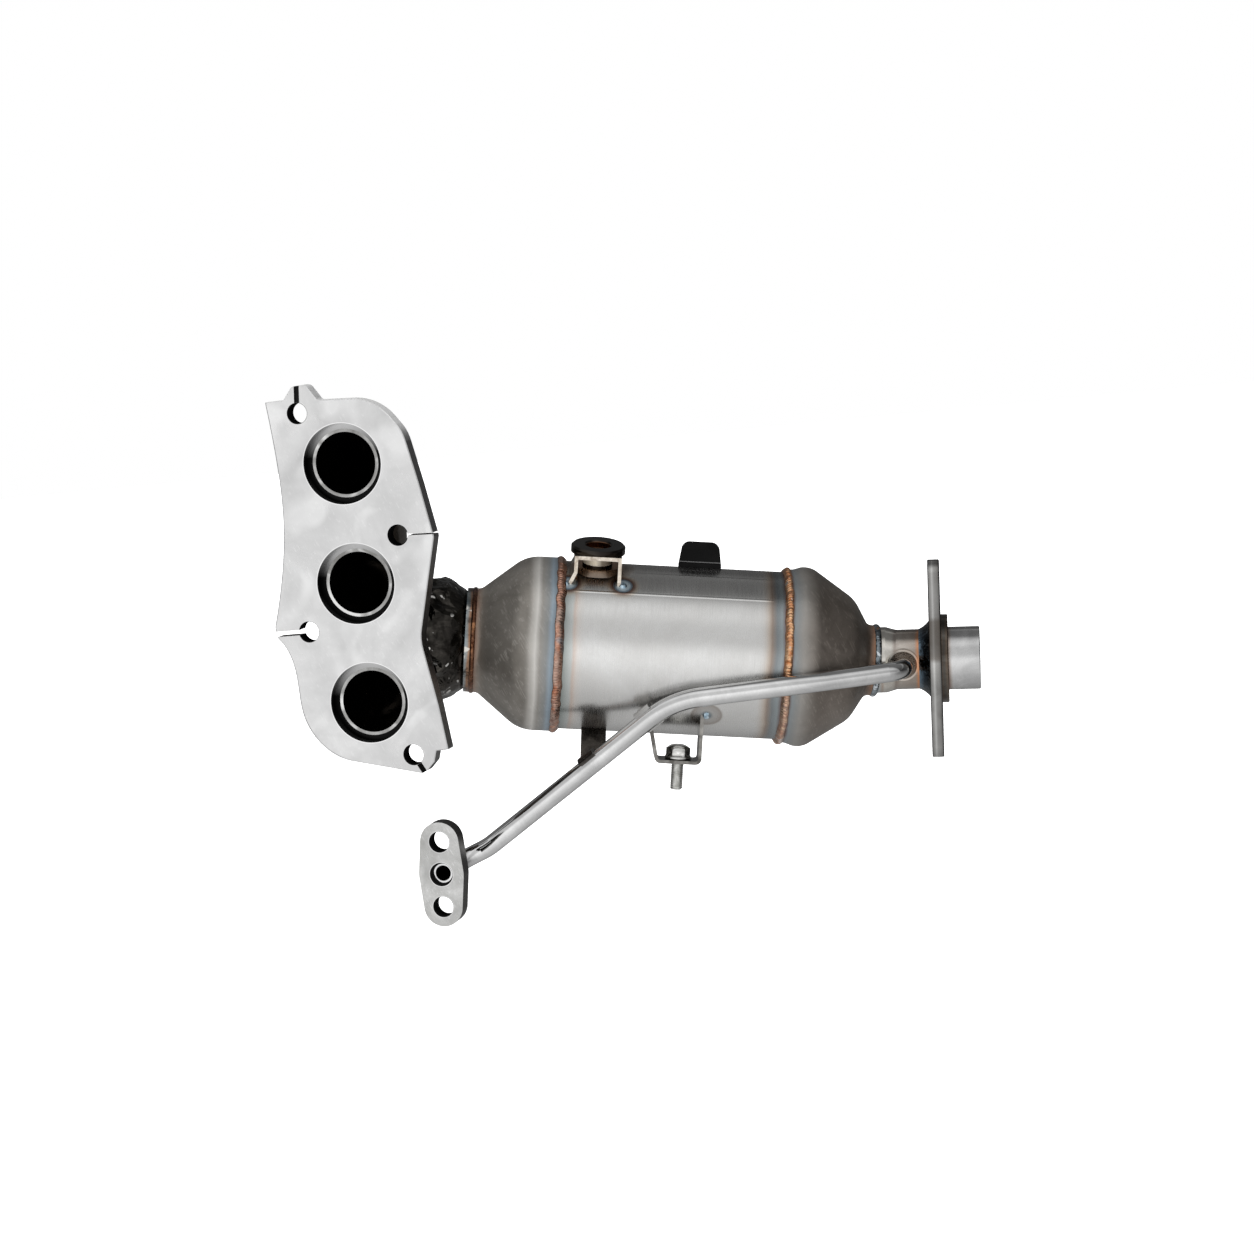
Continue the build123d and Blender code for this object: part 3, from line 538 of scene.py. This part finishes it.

# Cold rolled stainless sheet: a soft sheen broken by fine lines round the can, with straw,
# brown and blue bands beside the welds, halos where feet are welded on, and painted shade along its top
can_steel = metal(
    "can_stainless_sheet", "dadad9", "cac9c7", (0.24, 0.32), can, patch=55.6,
    grain=((0.667, 20.0, 20.0), 0.0012, 0.05), dent=(66.7, 0.16),
    coats=(
        shaded_above(46.5, "8c8b89", 0.42),
        banded(can, [
            (0.052, "4b3a34", 0.9), (0.0560, "7c8582", 0.80), (0.0610, "a9b0ae", 0.55),
            (0.0626, "c09a80", 0.42), (0.0650, "d8c4b4", 0.20), (0.0700, "cfcdca", 0.0),
            (0.1830, "cfcdca", 0.0), (0.1890, "a88c6e", 0.45), (0.1912, "785c44", 0.70),
            (0.1945, "5a646a", 0.75), (0.1978, "78858a", 0.75), (0.2010, "5c2c20", 0.95),
        ]),
        haloed(SMOKE_RINGS, [BOSS_DOME]), haloed(BRIGHT_RINGS, STRAP_FEET),
        haloed(GREY_RINGS, [BRACKET_FOOT]),
    ),
    relief=pressed_lines([
        (45.5, 0.060, 0.193, 0.0012, 0.00020), (68.0, 0.098, 0.193, 0.0008, 0.00018),
    ]),
)

# Pressed steel left as drawn: dull grey-brown with heat colours by the welds, and a painted highlight
# band round the shoulder before the skirt
inlet_steel = metal(
    "inlet_cone_pressed_steel", "827e78", "69655f", (0.34, 0.46), patch=38.5, metallic=0.72,
    dent=(11.1, 0.30), scratch=(1.92, 0.05, 0.04, 0.22, "c4c0ba"),
    coats=(
        banded(can, [
            (-0.0045, "6a3420", 0.85), (-0.0015, "8a6248", 0.45), (0.0020, "a89c90", 0.30),
            (0.0080, "6b6864", 0.0), (0.0310, "8b8985", 0.0), (0.0345, "b9b6b1", 0.50),
            (0.0380, "d6d4d0", 0.65), (0.0410, "a4a29e", 0.45), (0.0450, "8f979c", 0.45),
            (0.0475, "8c9dab", 0.75), (0.0500, "717f8a", 0.75), (0.0510, "4a3c38", 0.9),
        ]),
    ),
)
# Outlet cone: heat colours by the welds and the pipe, and a painted highlight band just past the skirt
outlet_steel = metal(
    "outlet_cone_pressed_steel", "7f7770", "665f58", (0.32, 0.46), patch=33.3, metallic=0.85,
    dent=(11.1, 0.30), scratch=(1.92, 0.05, 0.04, 0.20, "bcb4aa"),
    coats=(
        banded(can, [
            (0.2045, "5c3a30", 0.85), (0.2065, "8d979c", 0.70), (0.2120, "a3a29f", 0.60),
            (0.2190, "8a8782", 0.35), (0.2260, "6a655f", 0.0), (0.2500, "5d5650", 0.0),
            (0.2565, "544a42", 0.30), (0.2600, "6e5442", 0.50), (0.2630, "94684a", 0.60),
        ]),
    ),
)

# Thin sheet under dark oxide scale: nearly black and glossy, with painted pale glints on the folds
collector_steel = metal(
    "collector_dark_scaled_steel", "4a4743", "1c1a18", (0.06, 0.14), patch=16.7,
    dent=(10.0, 1.4),
    coats=(
        patchy("f0eeea", 7.69, 0.63, 0.66, 0.7), patchy("0c0b0a", 11.1, 0.55, 0.62, 0.6),
        banded(can, [(-0.014, "2a2826", 0.0), (-0.0095, "4a3a30", 0.4), (-0.005, "6a4a34", 0.6)]),
    ),
)

# Drawn tube: bright at the cut ends; every other face a darker brown-grey, both heat browning behind the
# plate and painted shade inside the bores
runner_steel = metal(
    "runner_sooted_steel", "b4b4b3", "7c7b79", (0.16, 0.28), patch=16.7, dent=(9.09, 0.30),
    coats=(patchy("f4f4f3", 20.0, 0.52, 0.62, 0.6), painted_bevel_and_sides("56524e", "56524e")),
)

# Short sleeve between two welds: blue, silver and orange from the heat
sleeve_steel = metal(
    "sleeve_heat_tinted_steel", "8a847c", "4a4540", (0.14, 0.28), patch=11.1, dent=(5.0, 0.40),
    coats=(
        banded(can, [
            (-0.0088, "9aacb6", 0.50), (-0.0074, "b4bcbe", 0.35), (-0.0062, "b88058", 0.45),
            (-0.0048, "9a6a48", 0.45), (-0.0035, "5a2c1c", 0.85),
        ]),
        patchy("e8e4dc", 6.67, 0.60, 0.68, 0.7), patchy("2c2826", 9.09, 0.56, 0.66, 0.7),
    ),
)

# Weld metal, with small dents from the pool: dull pink on the inlet bead, bright copper on
# the outlet bead, rust on the neck, blue-black behind the outlet flange, brown at the runners
weld_pink = metal(
    "weld_bead_heat_tinted", "e2bca8", "a87058", (0.14, 0.30), patch=5.56, dent=(2.0, 0.20),
    coats=(
        patchy("a8988f", 14.3, 0.46, 0.60, 0.70), patchy("6a3428", 5.56, 0.56, 0.68, 0.60),
        patchy("929da6", 20.0, 0.60, 0.68, 0.60),
    ),
)
weld_copper = metal(
    "weld_bead_copper_tinted", "f8d0a8", "c47e50", (0.12, 0.28), patch=5.0, dent=(2.0, 0.20),
    coats=(
        patchy("6a3024", 5.56, 0.58, 0.70, 0.55),
        zoned(can, 2, -0.075, -0.018, 0.012, "8b97a0", 0.35),
        patchy("ecf0f2", 8.33, 0.62, 0.70, 0.55),
    ),
)
weld_seam = metal(
    "weld_seam_rusty", "84604a", "4a2c1e", (0.22, 0.40), patch=3.85, dent=(1.43, 0.20),
    coats=(patchy("c89068", 8.33, 0.56, 0.66, 0.6),),
)
weld_blue = metal(
    "weld_bead_blue_scale", "6a7680", "14181c", (0.08, 0.22), patch=9.09, dent=(3.33, 0.60),
    coats=(
        banded(outlet, [
            (0.0315, "a87048", 0.7), (0.0328, "6a7c8a", 0.9), (0.0360, "1c242c", 0.85),
            (0.0470, "2a2826", 0.5), (0.0560, "8a6f50", 0.1),
        ]),
        patchy("8f9fac", 6.25, 0.60, 0.70, 0.4),
    ),
)

# Welds that cooled bright: silver and orange flecks on the pipe, pale blue on the spots
pipe_weld = metal(
    "pipe_weld_blued", "a8b2b8", "3a4046", (0.10, 0.24), patch=7.69, dent=(3.03, 0.80),
    coats=(
        patchy("b07850", 6.67, 0.60, 0.68, 0.70), patchy("e6edf2", 7.14, 0.55, 0.63, 0.8),
    ),
)
nugget_metal = metal(
    "weld_nugget_blued", "dcebf4", "8ea6b6", (0.10, 0.24), patch=3.33, dent=(2.0, 0.30),
)

# Bright stainless pipe, browned towards the weld at the flange
pipe_steel = metal(
    "outlet_pipe_stainless", "e2e0da", "b8b4ac", (0.12, 0.22), patch=16.7, dent=(16.7, 0.10),
    coats=(
        banded(outlet, [
            (-0.002, "6e5a4c", 0.7), (0.0020, "5a6870", 0.75), (0.0050, "b4c4cc", 0.65),
            (0.0080, "a08068", 0.45), (0.0095, "e0dcd4", 0.1), (0.0150, "b8b0a8", 0.3),
            (0.0170, "6a4c40", 0.5), (0.0200, "8a7a70", 0.50), (0.0300, "7a6456", 0.60),
            (0.0322, "c07a44", 0.85), (0.0338, "56646e", 0.9), (0.0420, "1a2228", 0.9),
        ]),
    ),
)

# Rolled plate cut to an oval: grey rim with painted shading, darker on the bevels, dark at both edges of
# the rim and light in its middle, and a band of painted brown shade above the middle
outlet_flange_steel = metal(
    "outlet_flange_rolled_steel", "a8a8a6", "8a8886", (0.20, 0.36), outlet, patch=25.0,
    grain=((11.1, 1.11, 11.1), 0.004, 0.16), dent=(20.0, 0.10),
    coats=(
        patchy("5c5854", 16.7, 0.54, 0.68, 0.4), painted_bevel_shading(outlet, "8a8a88"),
        banded(outlet, [
            (0.0402, "2e2d2c", 0.85), (0.0412, "8c8c8a", 0.2), (0.0430, "dcdcda", 0.6),
            (0.0446, "9a9a98", 0.2), (0.0466, "6c6b69", 0.5), (0.0476, "343332", 0.8),
        ], wander=0.0002),
        zoned(outlet, 2, 0.004, 0.027, 0.003, "4e443a", 0.60),
    ),
)

# Turned step on the face of the flange: dark, with brown edges from the heat
ring_steel = metal(
    "gasket_ring_steel", "74726e", "44403c", (0.20, 0.36), patch=11.1,
    coats=(banded(outlet, [(0.048, "5a4636", 0.5), (0.050, "34322e", 0.4), (0.0520, "6a5440", 0.4)]),),
)

# Turned stainless: fine rings round the spigot that spread the highlights
spigot_steel = metal(
    "spigot_turned_steel", "d2d2d2", "b4b4b4", (0.15, 0.26), outlet, patch=16.7,
    grain=((0.4545, 16.7, 16.7), 0.003, 0.08),
    coats=(
        banded(outlet, [
            (0.0525, "6a4028", 0.8), (0.0540, "8a7058", 0.4), (0.0560, "d6d6d6", 0.0),
        ]),
    ),
)

# Bright drawn tube: smooth, with long sharp reflections
tube_steel = metal(
    "tube_drawn_stainless", "e0e0e0", "c4c4c4", (0.05, 0.09), patch=33.3, dent=(25.0, 0.04),
    scratch=(2.0, 0.05, 0.005, 0.12, "f0f0f0"),
)

# Ground flange of the tube: pale and scratched, with painted highlights on the bevels and hole rims,
# painted shade on the sides and black painted shade in the holes
tube_flange_steel = metal(
    "tube_flange_ground_steel", "cccccb", "a2a2a0", (0.20, 0.36), patch=27.8,
    scratch=(1.61, 0.03, 0.01, 0.30, "f4f4f4"),
    coats=(
        patchy("8e8e8c", 20.0, 0.54, 0.68, 0.4), painted_bevel_and_sides("f4f4f4", "4c4b48"),
        painted_hole_shading(TUBE_BOLT_HOLES, "141414", "e8e8e8", 0.0003),
        painted_hole_shading(TUBE_PORT, "1c1c1c", "f4f4f4", 0.0003),
    ),
    painted_dulling=inside_holes(TUBE_BOLT_HOLES + TUBE_PORT),
)

# Folded strip: dull grey on the stay, pale satin on the saddle, polished on the bracket and
# the strap
stay_steel = metal(
    "stay_dull_steel", "625d58", "3c3835", (0.18, 0.34), patch=11.1, dent=(8.33, 0.20),
)
saddle_steel = metal(
    "saddle_stainless_sheet", "d0cfcd", "b2b1af", (0.24, 0.34), patch=16.7,
)
bracket_steel = metal(
    "bracket_polished_steel", "9a9894", "54524f", (0.09, 0.18), patch=11.1, dent=(10.0, 0.20),
)
strap_steel = metal(
    "strap_polished_steel", "f4ece0", "b0a496", (0.12, 0.24), patch=5.88, dent=(8.33, 0.20),
)

# Nickel plated boss: a creamy neck, made partly dull so it shows bright as a painted stand-in for
# reflections, with a black band of painted shade at its foot; a brown tone on its side towards the
# outlet, and a head blackened by heat with a brown bore
boss_steel = metal(
    "sensor_boss_nickel", "f4ecdc", "cfc2aa", (0.12, 0.22), patch=8.33,
    coats=(
        zoned(can, 0, BOSS_PLACE + 0.0020, BOSS_PLACE + 0.020, 0.004, "5a4c3e", 0.8),
        banded(boss, [
            (DOME_TOP, "060606", 0.95), (DOME_TOP + 0.0017, "060606", 0.95),
            (DOME_TOP + 0.0022, "d8d4cc", 0.0), (BOSS_CROWN - 0.0003, "d8d4cc", 0.0),
            (BOSS_CROWN, "c8b494", 0.6), (BOSS_CROWN + 0.0006, "2a2422", 0.95),
            (BOSS_TOP, "211e1e", 0.97),
        ], wander=0.0),
        cored(boss, SENSOR_THREAD, "6a4c38"),
    ),
    painted_dulling=painted_bright_neck,
)

# Zinc plated bolt: even and bright
bolt_steel = metal(
    "bolt_zinc_plated", "f2f2f0", "c2c2be", (0.10, 0.20), patch=5.0,
)

# Black oxide on the pressed tab: hardly any sheen, with a painted grey highlight along the crease
tab_black = metal(
    "tab_black_oxide", "0c0c0c", "040404", (0.14, 0.26), patch=11.1, metallic=0.0,
    specular=0.07, dent=(11.1, 0.30), relief=crease(can, 2, TAB_CREASE, 0.0008, 0.0004),
    coats=(zoned(can, 2, TAB_CREASE - 0.0002, TAB_CREASE + 0.0002, 0.0002, "6e6e6e", 0.8),),
)

# Inside the can: chalky washcoat on the bricks and matted fibre round them
brick_stone = metal(
    "brick_washcoat", "b8a88c", "8c7c64", (0.7, 0.9), patch=5.0, metallic=0.0,
)
mat_wool = metal(
    "mat_fibre", "e0dccf", "b8b2a2", (0.8, 0.95), patch=3.85, metallic=0.0,
)

DRESS = {
    "manifold_flange": flange_face, "runner_top": runner_steel, "runner_middle": runner_steel,
    "runner_bottom": runner_steel, "runner_welds": weld_blue, "collector": collector_steel,
    "inlet_sleeve": sleeve_steel, "inlet_cone": inlet_steel, "can_shell": can_steel,
    "outlet_cone": outlet_steel, "outlet_pipe": pipe_steel, "flange_bead": weld_blue,
    "pipe_bead": pipe_weld, "outlet_flange": outlet_flange_steel, "gasket_ring": ring_steel,
    "outlet_spigot": spigot_steel, "sensor_boss": boss_steel, "sensor_strap": strap_steel,
    "shield_tab": tab_black, "gas_tube": tube_steel, "tube_flange": tube_flange_steel,
    "tube_ring": pipe_steel, "tube_saddle": saddle_steel, "tube_stay": stay_steel,
    "u_bracket": bracket_steel, "bracket_bolt": bolt_steel, "foot_nuggets": nugget_metal,
    "front_brick": brick_stone, "rear_brick": brick_stone, "front_mat": mat_wool,
    "rear_mat": mat_wool, "can_inlet_bead": weld_pink, "can_outlet_bead": weld_copper,
    "neck_seam": weld_seam,
}
for name, material in DRESS.items():
    piece = nodes[name]
    piece.data.materials.clear()
    piece.data.materials.append(material)


def piece_from(name, points, faces, material, slot, stands_for):
    """A new smooth piece that rides on the part and stands for a CAD node."""
    mesh = bpy.data.meshes.new(name)
    mesh.from_pydata(points, [], faces)
    mesh.validate()
    mesh.shade_smooth()
    made = bpy.data.objects.new(name, mesh)
    bpy.context.scene.collection.objects.link(made)
    mesh.materials.append(material)
    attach(made, "root")
    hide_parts(stands_for)
    return made


def skin(rows, closed_rows=False):
    """Points and quads between rows; each row is a closed ring of points."""
    count = len(rows[0])
    faces = []
    for i in range(len(rows) if closed_rows else len(rows) - 1):
        j = (i + 1) % len(rows)
        for k in range(count):
            m = (k + 1) % count
            faces.append((i * count + k, i * count + m, j * count + m, j * count + k))
    return [p for row in rows for p in row], faces


# Weld beads at the two ends of the can
BEAD_STEPS = 12
STEPS_IN_RIPPLE = 9


def arc_through(low, crown, high, count):
    """Points on the smooth curve that passes three points."""
    pull = (crown - (low + high) * 0.25) * 2
    made = []
    for i in range(count + 1):
        t = i / count
        made.append(low * (1 - t) ** 2 + pull * (2 * t * (1 - t)) + high * t ** 2)
    return made


def weld_ring(name, section, pitch, height, seed, material, stands_for):
    """Rippled weld bead round the can, drawn from a low point over a crown to a high point.

    The section's points are distances and radii, pitch is the step of the ripples and
    height their rise.
    """
    low, crown, high = section
    profile = arc_through(low, crown, high, BEAD_STEPS)
    ripples = round(math.tau * crown.y / pitch)
    rows = []
    for i in range(ripples * STEPS_IN_RIPPLE):
        turn = math.tau * i / (ripples * STEPS_IN_RIPPLE)
        wander = noise.noise(Vector((math.cos(turn) * 9, math.sin(turn) * 9, seed)))
        swell = noise.noise(Vector((math.cos(turn) * 23, math.sin(turn) * 23, seed + 5)))
        row = []
        for j, spot in enumerate(profile):
            across = j / BEAD_STEPS
            phase = ripples * turn / math.tau + 0.55 * (2 * across - 1) ** 2 + 0.35 * swell
            ripple = math.sqrt(abs(math.sin(math.pi * phase)))
            lift = height * math.sin(math.pi * across) * (ripple - 0.55 + 0.9 * swell)
            row.append(ring_point(spot.x + wander * height * 1.6, spot.y + lift, turn))
        row += [ring_point(high.x, BEAD_FOOT, turn), ring_point(low.x, BEAD_FOOT, turn)]
        rows.append(row)
    points, faces = skin(rows, closed_rows=True)
    piece_from(name, points, faces, material, "weld_metal", stands_for)


weld_ring(
    "inlet_bead_ripples", (
        Vector((INLET_SKIRT_END - 0.0022, SKIRT_RADIUS)),
        Vector((INLET_SKIRT_END + 0.0008, SKIRT_RADIUS + 0.0007)),
        Vector((INLET_SKIRT_END + 0.0040, CAN_RADIUS)),
    ), 0.0020, 0.00046, 3.0, weld_pink, "can_inlet_bead",
)
weld_ring(
    "outlet_bead_ripples", (
        Vector((OUTLET_SKIRT_START - 0.0032, CAN_RADIUS)),
        Vector((OUTLET_SKIRT_START - 0.0004, SKIRT_RADIUS + 0.0009)),
        Vector((OUTLET_SKIRT_START + 0.0022, SKIRT_RADIUS)),
    ), 0.0021, 0.00060, 11.0, weld_copper, "can_outlet_bead",
)

# Strap, with the front of its top drawn forward to the edge of the head and lifted to meet it
STRAP_CAD_TOP = 0.013
STRAP_TOP = 0.0195
STRAP_FRONT = 0.024
STRAP_SLANT_END = 0.0529
STRAP_EDGE_REACH = 0.00005
STRAP_LIP = 0.0028
STRAP_LIP_RISE = 0.0021


def slanted_edge(top, height):
    """How far in front of the boss the edge of the strap is at a height."""
    share = (BOSS_CROWN - height) / (BOSS_CROWN - STRAP_SLANT_END)
    return top + (STRAP_FRONT - top) * share


def folded_strap():
    """The strap's points, with those on its slanted front moved, and its faces."""
    source = nodes["sensor_strap"]
    made = []
    for vertex in source.data.vertices:
        spot = boss.inverted() @ (source.matrix_world @ vertex.co)
        if abs(-spot.y - slanted_edge(STRAP_CAD_TOP, spot.x)) < STRAP_EDGE_REACH:
            spot.y = -slanted_edge(STRAP_TOP, spot.x)
            if spot.x > BOSS_CROWN - STRAP_LIP:
                spot.x += STRAP_LIP_RISE
        made.append(boss @ spot)
    return made, [tuple(face.vertices) for face in source.data.polygons]


strap = piece_from("strap_folded", *folded_strap(), strap_steel, "can_steel", "sensor_strap")
strap.data.shade_flat()

# Collector, with the folds of its thin sheet, open where the three runners enter
COLLECTOR_STEPS = 130
COLLECTOR_TURNS = 260
FOLD_FADE = 5.0
RUNNER_ENDS = (
    Vector((-0.024, 0.106, -0.040)), Vector((0, 0.036, 0)), Vector((0, 0.036, -PORT_PITCH)),
)


def folds(place):
    """Height of the folds at a place, in metres."""
    broad = 1 - 2.6 * abs(noise.noise(place * 52))
    fine = 1 - 2.6 * abs(noise.noise(place * 110 + Vector((7, 3, 1))))
    return 0.0021 * broad + 0.0007 * fine


def collector_section(ball, tube):
    """Distance, radius and share of the folds, from the closed end to the outlet."""
    sweep = math.pi - math.asin(COLLECTOR_RADIUS / HUB_RADIUS)
    made = []
    for i in range(COLLECTOR_STEPS + 1):
        turn = math.pi - sweep * i / COLLECTOR_STEPS
        radius = max(ball * math.sin(turn), 0.0001)
        share = min(1.0, FOLD_FADE * (1 - i / COLLECTOR_STEPS))
        made.append((HUB_PLACE + ball * math.cos(turn), radius, share))
    return made + [(COLLECTOR_END, tube, 0.0)]


def folded_collector():
    """Folded outside and plain inside of the hollow ball."""
    hub = can @ Vector((HUB_PLACE, 0, 0))
    ways = [end - hub for end in RUNNER_ENDS]
    outside = collector_section(HUB_RADIUS, COLLECTOR_RADIUS)
    inside = collector_section(HUB_RADIUS - HUB_WALL, COLLECTOR_RADIUS - HUB_WALL)
    plain = [(distance, radius, 0.0) for distance, radius, _ in reversed(inside)]
    rows = []
    for distance, radius, share in outside + plain:
        row = []
        for k in range(COLLECTOR_TURNS):
            point = ring_point(distance, radius, math.tau * k / COLLECTOR_TURNS)
            if share:
                point += (point - hub).normalized() * folds(point) * share
            row.append(point)
        rows.append(row)
    points, faces = skin(rows)

    def enters(face):
        spot = sum((points[i] for i in face), Vector()) / 4 - hub
        return any(
            spot.dot(way) > 0 and spot.cross(way.normalized()).length < RUNNER_BORE
            for way in ways
        )

    return points, [face for face in faces if not enters(face)]


piece_from("collector_folded", *folded_collector(), collector_steel, "dark_steel", "collector")

# Bolt with a rolled thread, a flange and a domed hexagon head; heights are from the underside
# of the bracket
THREAD_PITCH = 0.00125
THREAD_DEPTH = 0.00068
THREAD_START = 0.0006
THREAD_END = 0.0175
THREAD_STEPS = 190
BOLT_RADIUS = 0.0042
BOLT_TIP_RADIUS = 0.0031
BOLT_FLANGE = 0.0087
BOLT_FLATS = 0.0140
HEX_CORNER = 1.145
BOLT_SIDES = 48
HEXAGON_HEIGHTS = (0.0028, 0.0034, 0.0072)
FLANGE_RINGS = ((0.0, 0.0004), (0.0004, 0.0), (0.0014, 0.0), (0.0022, 0.0005))
DOME_RINGS = ((0.0083, 0.0063), (0.0090, 0.0052), (0.0095, 0.0036), (0.0096, 0.0001))
bolt_frame = can @ Matrix.Translation((BRACKET_PLACE, -BOLT_FRONT, -BRACKET_FLOOR))


def hexagon(turn):
    """Radius of the hexagon at a turn, with its corners taken off."""
    off = turn % (math.pi / 3) - math.pi / 6
    return BOLT_FLATS / 2 * min(1 / math.cos(off), HEX_CORNER)


def thread(height, turn):
    """Radius of the thread at a height and a turn."""
    phase = (height / THREAD_PITCH - turn / math.tau) % 1
    return BOLT_RADIUS - THREAD_DEPTH * abs(2 * phase - 1) ** 1.3


def bolt_rows():
    """Rings of the bolt from its tip to the top of its dome."""
    turns = [math.tau * i / BOLT_SIDES for i in range(BOLT_SIDES)]
    rows = []

    def ring(height, radii):
        rows.append([
            bolt_frame @ Vector((radius * math.cos(turn), radius * math.sin(turn), height))
            for turn, radius in zip(turns, radii)
        ])

    tip = -THREAD_END - THREAD_START
    ring(tip, [0.0001] * BOLT_SIDES)
    ring(tip, [BOLT_TIP_RADIUS] * BOLT_SIDES)
    for i in range(THREAD_STEPS + 1):
        height = -THREAD_END + (THREAD_END - THREAD_START) * i / THREAD_STEPS
        ring(height, [thread(height, turn) for turn in turns])
    ring(0.0, [BOLT_RADIUS] * BOLT_SIDES)
    ring(BRACKET_SHEET, [BOLT_RADIUS] * BOLT_SIDES)
    for rise, inset in FLANGE_RINGS:
        ring(BRACKET_SHEET + rise, [BOLT_FLANGE - inset] * BOLT_SIDES)
    flats = [hexagon(turn) for turn in turns]
    for rise in HEXAGON_HEIGHTS:
        ring(BRACKET_SHEET + rise, flats)
    for rise, size in DOME_RINGS:
        ring(BRACKET_SHEET + rise, [min(size, radius) for radius in flats])
    return rows


piece_from("bolt_threaded", *skin(bolt_rows()), bolt_steel, "bolt_steel", "bracket_bolt")

# Studio light: levels by the angle over the front in degrees, and shares by how far the
# light comes from a side
STUDIO_STRENGTH = 1.3
STUDIO_BANDS = (
    (-180, 0.06), (-146, 0.23), (-125, 0.34), (-99, 0.45), (-63, 0.53), (-26, 0.78),
    (-9, 0.92), (3, 0.92), (18, 0.60), (44, 0.60), (58, 0.80), (72, 0.72), (84, 0.45),
    (92, 0.16), (126, 0.14), (131, 0.30), (138, 0.08), (170, 0.08),
)
STUDIO_FLANKS = ((0.40, 1.0), (0.80, 0.78), (0.97, 0.42))


def studio_light(tree, way):
    """Light that comes from a direction."""
    front = add(tree, MATH, {0: add(tree, SPLIT, {0: way}, 1), 1: -1.0}, operation="MULTIPLY")
    over = add(tree, MATH, {0: add(tree, SPLIT, {0: way}, 2), 1: front}, operation="ARCTAN2")
    share = add(tree, RANGE, {0: over, 1: -math.pi, 2: math.pi})
    band = add(tree, RAMP, {0: share}, stops=[(0.5 + at / 360, level) for at, level in STUDIO_BANDS])
    side = add(tree, MATH, {0: add(tree, SPLIT, {0: way}, 0)}, operation="ABSOLUTE")
    flank = add(tree, RAMP, {0: side}, stops=STUDIO_FLANKS)
    return add(tree, VECTOR, {0: band, 1: flank}, operation="MULTIPLY")


def light_world():
    """White to the camera, and the studio's bands to everything else."""
    world = bpy.data.worlds.new("studio")
    bpy.context.scene.world = world
    world.use_nodes = True
    tree = world.node_tree
    tree.nodes.clear()
    way = add(tree, "ShaderNodeTexCoord", output="Generated")
    studio = add(tree, "ShaderNodeBackground", {
        "Color": studio_light(tree, way), "Strength": STUDIO_STRENGTH,
    })
    white = add(tree, "ShaderNodeBackground", {"Color": "ffffff", "Strength": 1.0})
    to_camera = add(tree, "ShaderNodeLightPath", output="Is Camera Ray")
    shown = add(tree, "ShaderNodeMixShader", {0: to_camera, 1: studio, 2: white})
    out = tree.nodes.new("ShaderNodeOutputWorld")
    tree.links.new(shown, out.inputs["Surface"])


def lay_floor():
    """Pale paper that keeps the shadow; in reflections it carries on the studio's light."""
    bpy.ops.mesh.primitive_plane_add(size=14, location=(0, 0, FLOOR_HEIGHT))
    floor = bpy.context.object
    floor.name = "studio_floor"
    paper = bpy.data.materials.new("floor_paper")
    paper.use_nodes = True
    tree = paper.node_tree
    shader = tree.nodes["Principled BSDF"]
    shader.inputs["Base Color"].default_value = colour("e4e4e4")
    shader.inputs["Roughness"].default_value = 0.9
    shader.inputs["Emission Color"].default_value = colour("ffffff")
    shader.inputs["Emission Strength"].default_value = 0.80
    ray = add(tree, GEOMETRY, output="Incoming")
    way = add(tree, VECTOR, {0: ray, 1: (-1, -1, -1)}, operation="MULTIPLY")
    mirrored = add(tree, "ShaderNodeEmission", {
        "Color": studio_light(tree, way), "Strength": STUDIO_STRENGTH,
    })
    to_metal = add(tree, "ShaderNodeLightPath", output="Is Glossy Ray")
    shown = add(tree, "ShaderNodeMixShader", {0: to_metal, 1: shader.outputs[0], 2: mirrored})
    tree.links.new(shown, tree.nodes["Material Output"].inputs["Surface"])
    floor.data.materials.append(paper)


def hang_lamp():
    """Wide soft light from above, for the floor and dull surfaces."""
    lamp = bpy.data.lights.new("ceiling_light", "SUN")
    lamp.energy = 3.2
    lamp.angle = math.radians(60)
    made = bpy.data.objects.new("ceiling_light", lamp)
    made.rotation_mode = "QUATERNION"
    made.rotation_quaternion = Vector((0.1, 0.15, -1)).to_track_quat("-Z", "Y")
    made.visible_glossy = False
    bpy.context.scene.collection.objects.link(made)


def set_camera():
    """Camera at the place and angle of the photograph, turned a little about its own axis."""
    azimuth = math.radians(CAMERA_AZIMUTH)
    elevation = math.radians(CAMERA_ELEVATION)
    roll = math.radians(CAMERA_ROLL)
    ahead = Vector((
        -math.sin(azimuth) * math.cos(elevation), math.cos(azimuth) * math.cos(elevation),
        -math.sin(elevation),
    ))
    level = Vector((math.cos(azimuth), math.sin(azimuth), 0))
    above = level.cross(ahead)
    right = level * math.cos(roll) - above * math.sin(roll)
    up = level * math.sin(roll) + above * math.cos(roll)
    lens = bpy.data.cameras.new("camera")
    lens.lens = CAMERA_LENS
    lens.sensor_width = 36.0
    lens.clip_start = 0.05
    lens.clip_end = 40.0
    camera = bpy.data.objects.new("camera", lens)
    camera.rotation_mode = "QUATERNION"
    camera.rotation_quaternion = Matrix((right, up, -ahead)).transposed().to_quaternion()
    camera.location = CAMERA_PLACE
    bpy.context.scene.collection.objects.link(camera)
    bpy.context.scene.camera = camera
    bpy.context.scene.view_settings.view_transform = "Standard"


light_world()
lay_floor()
hang_lamp()
set_camera()
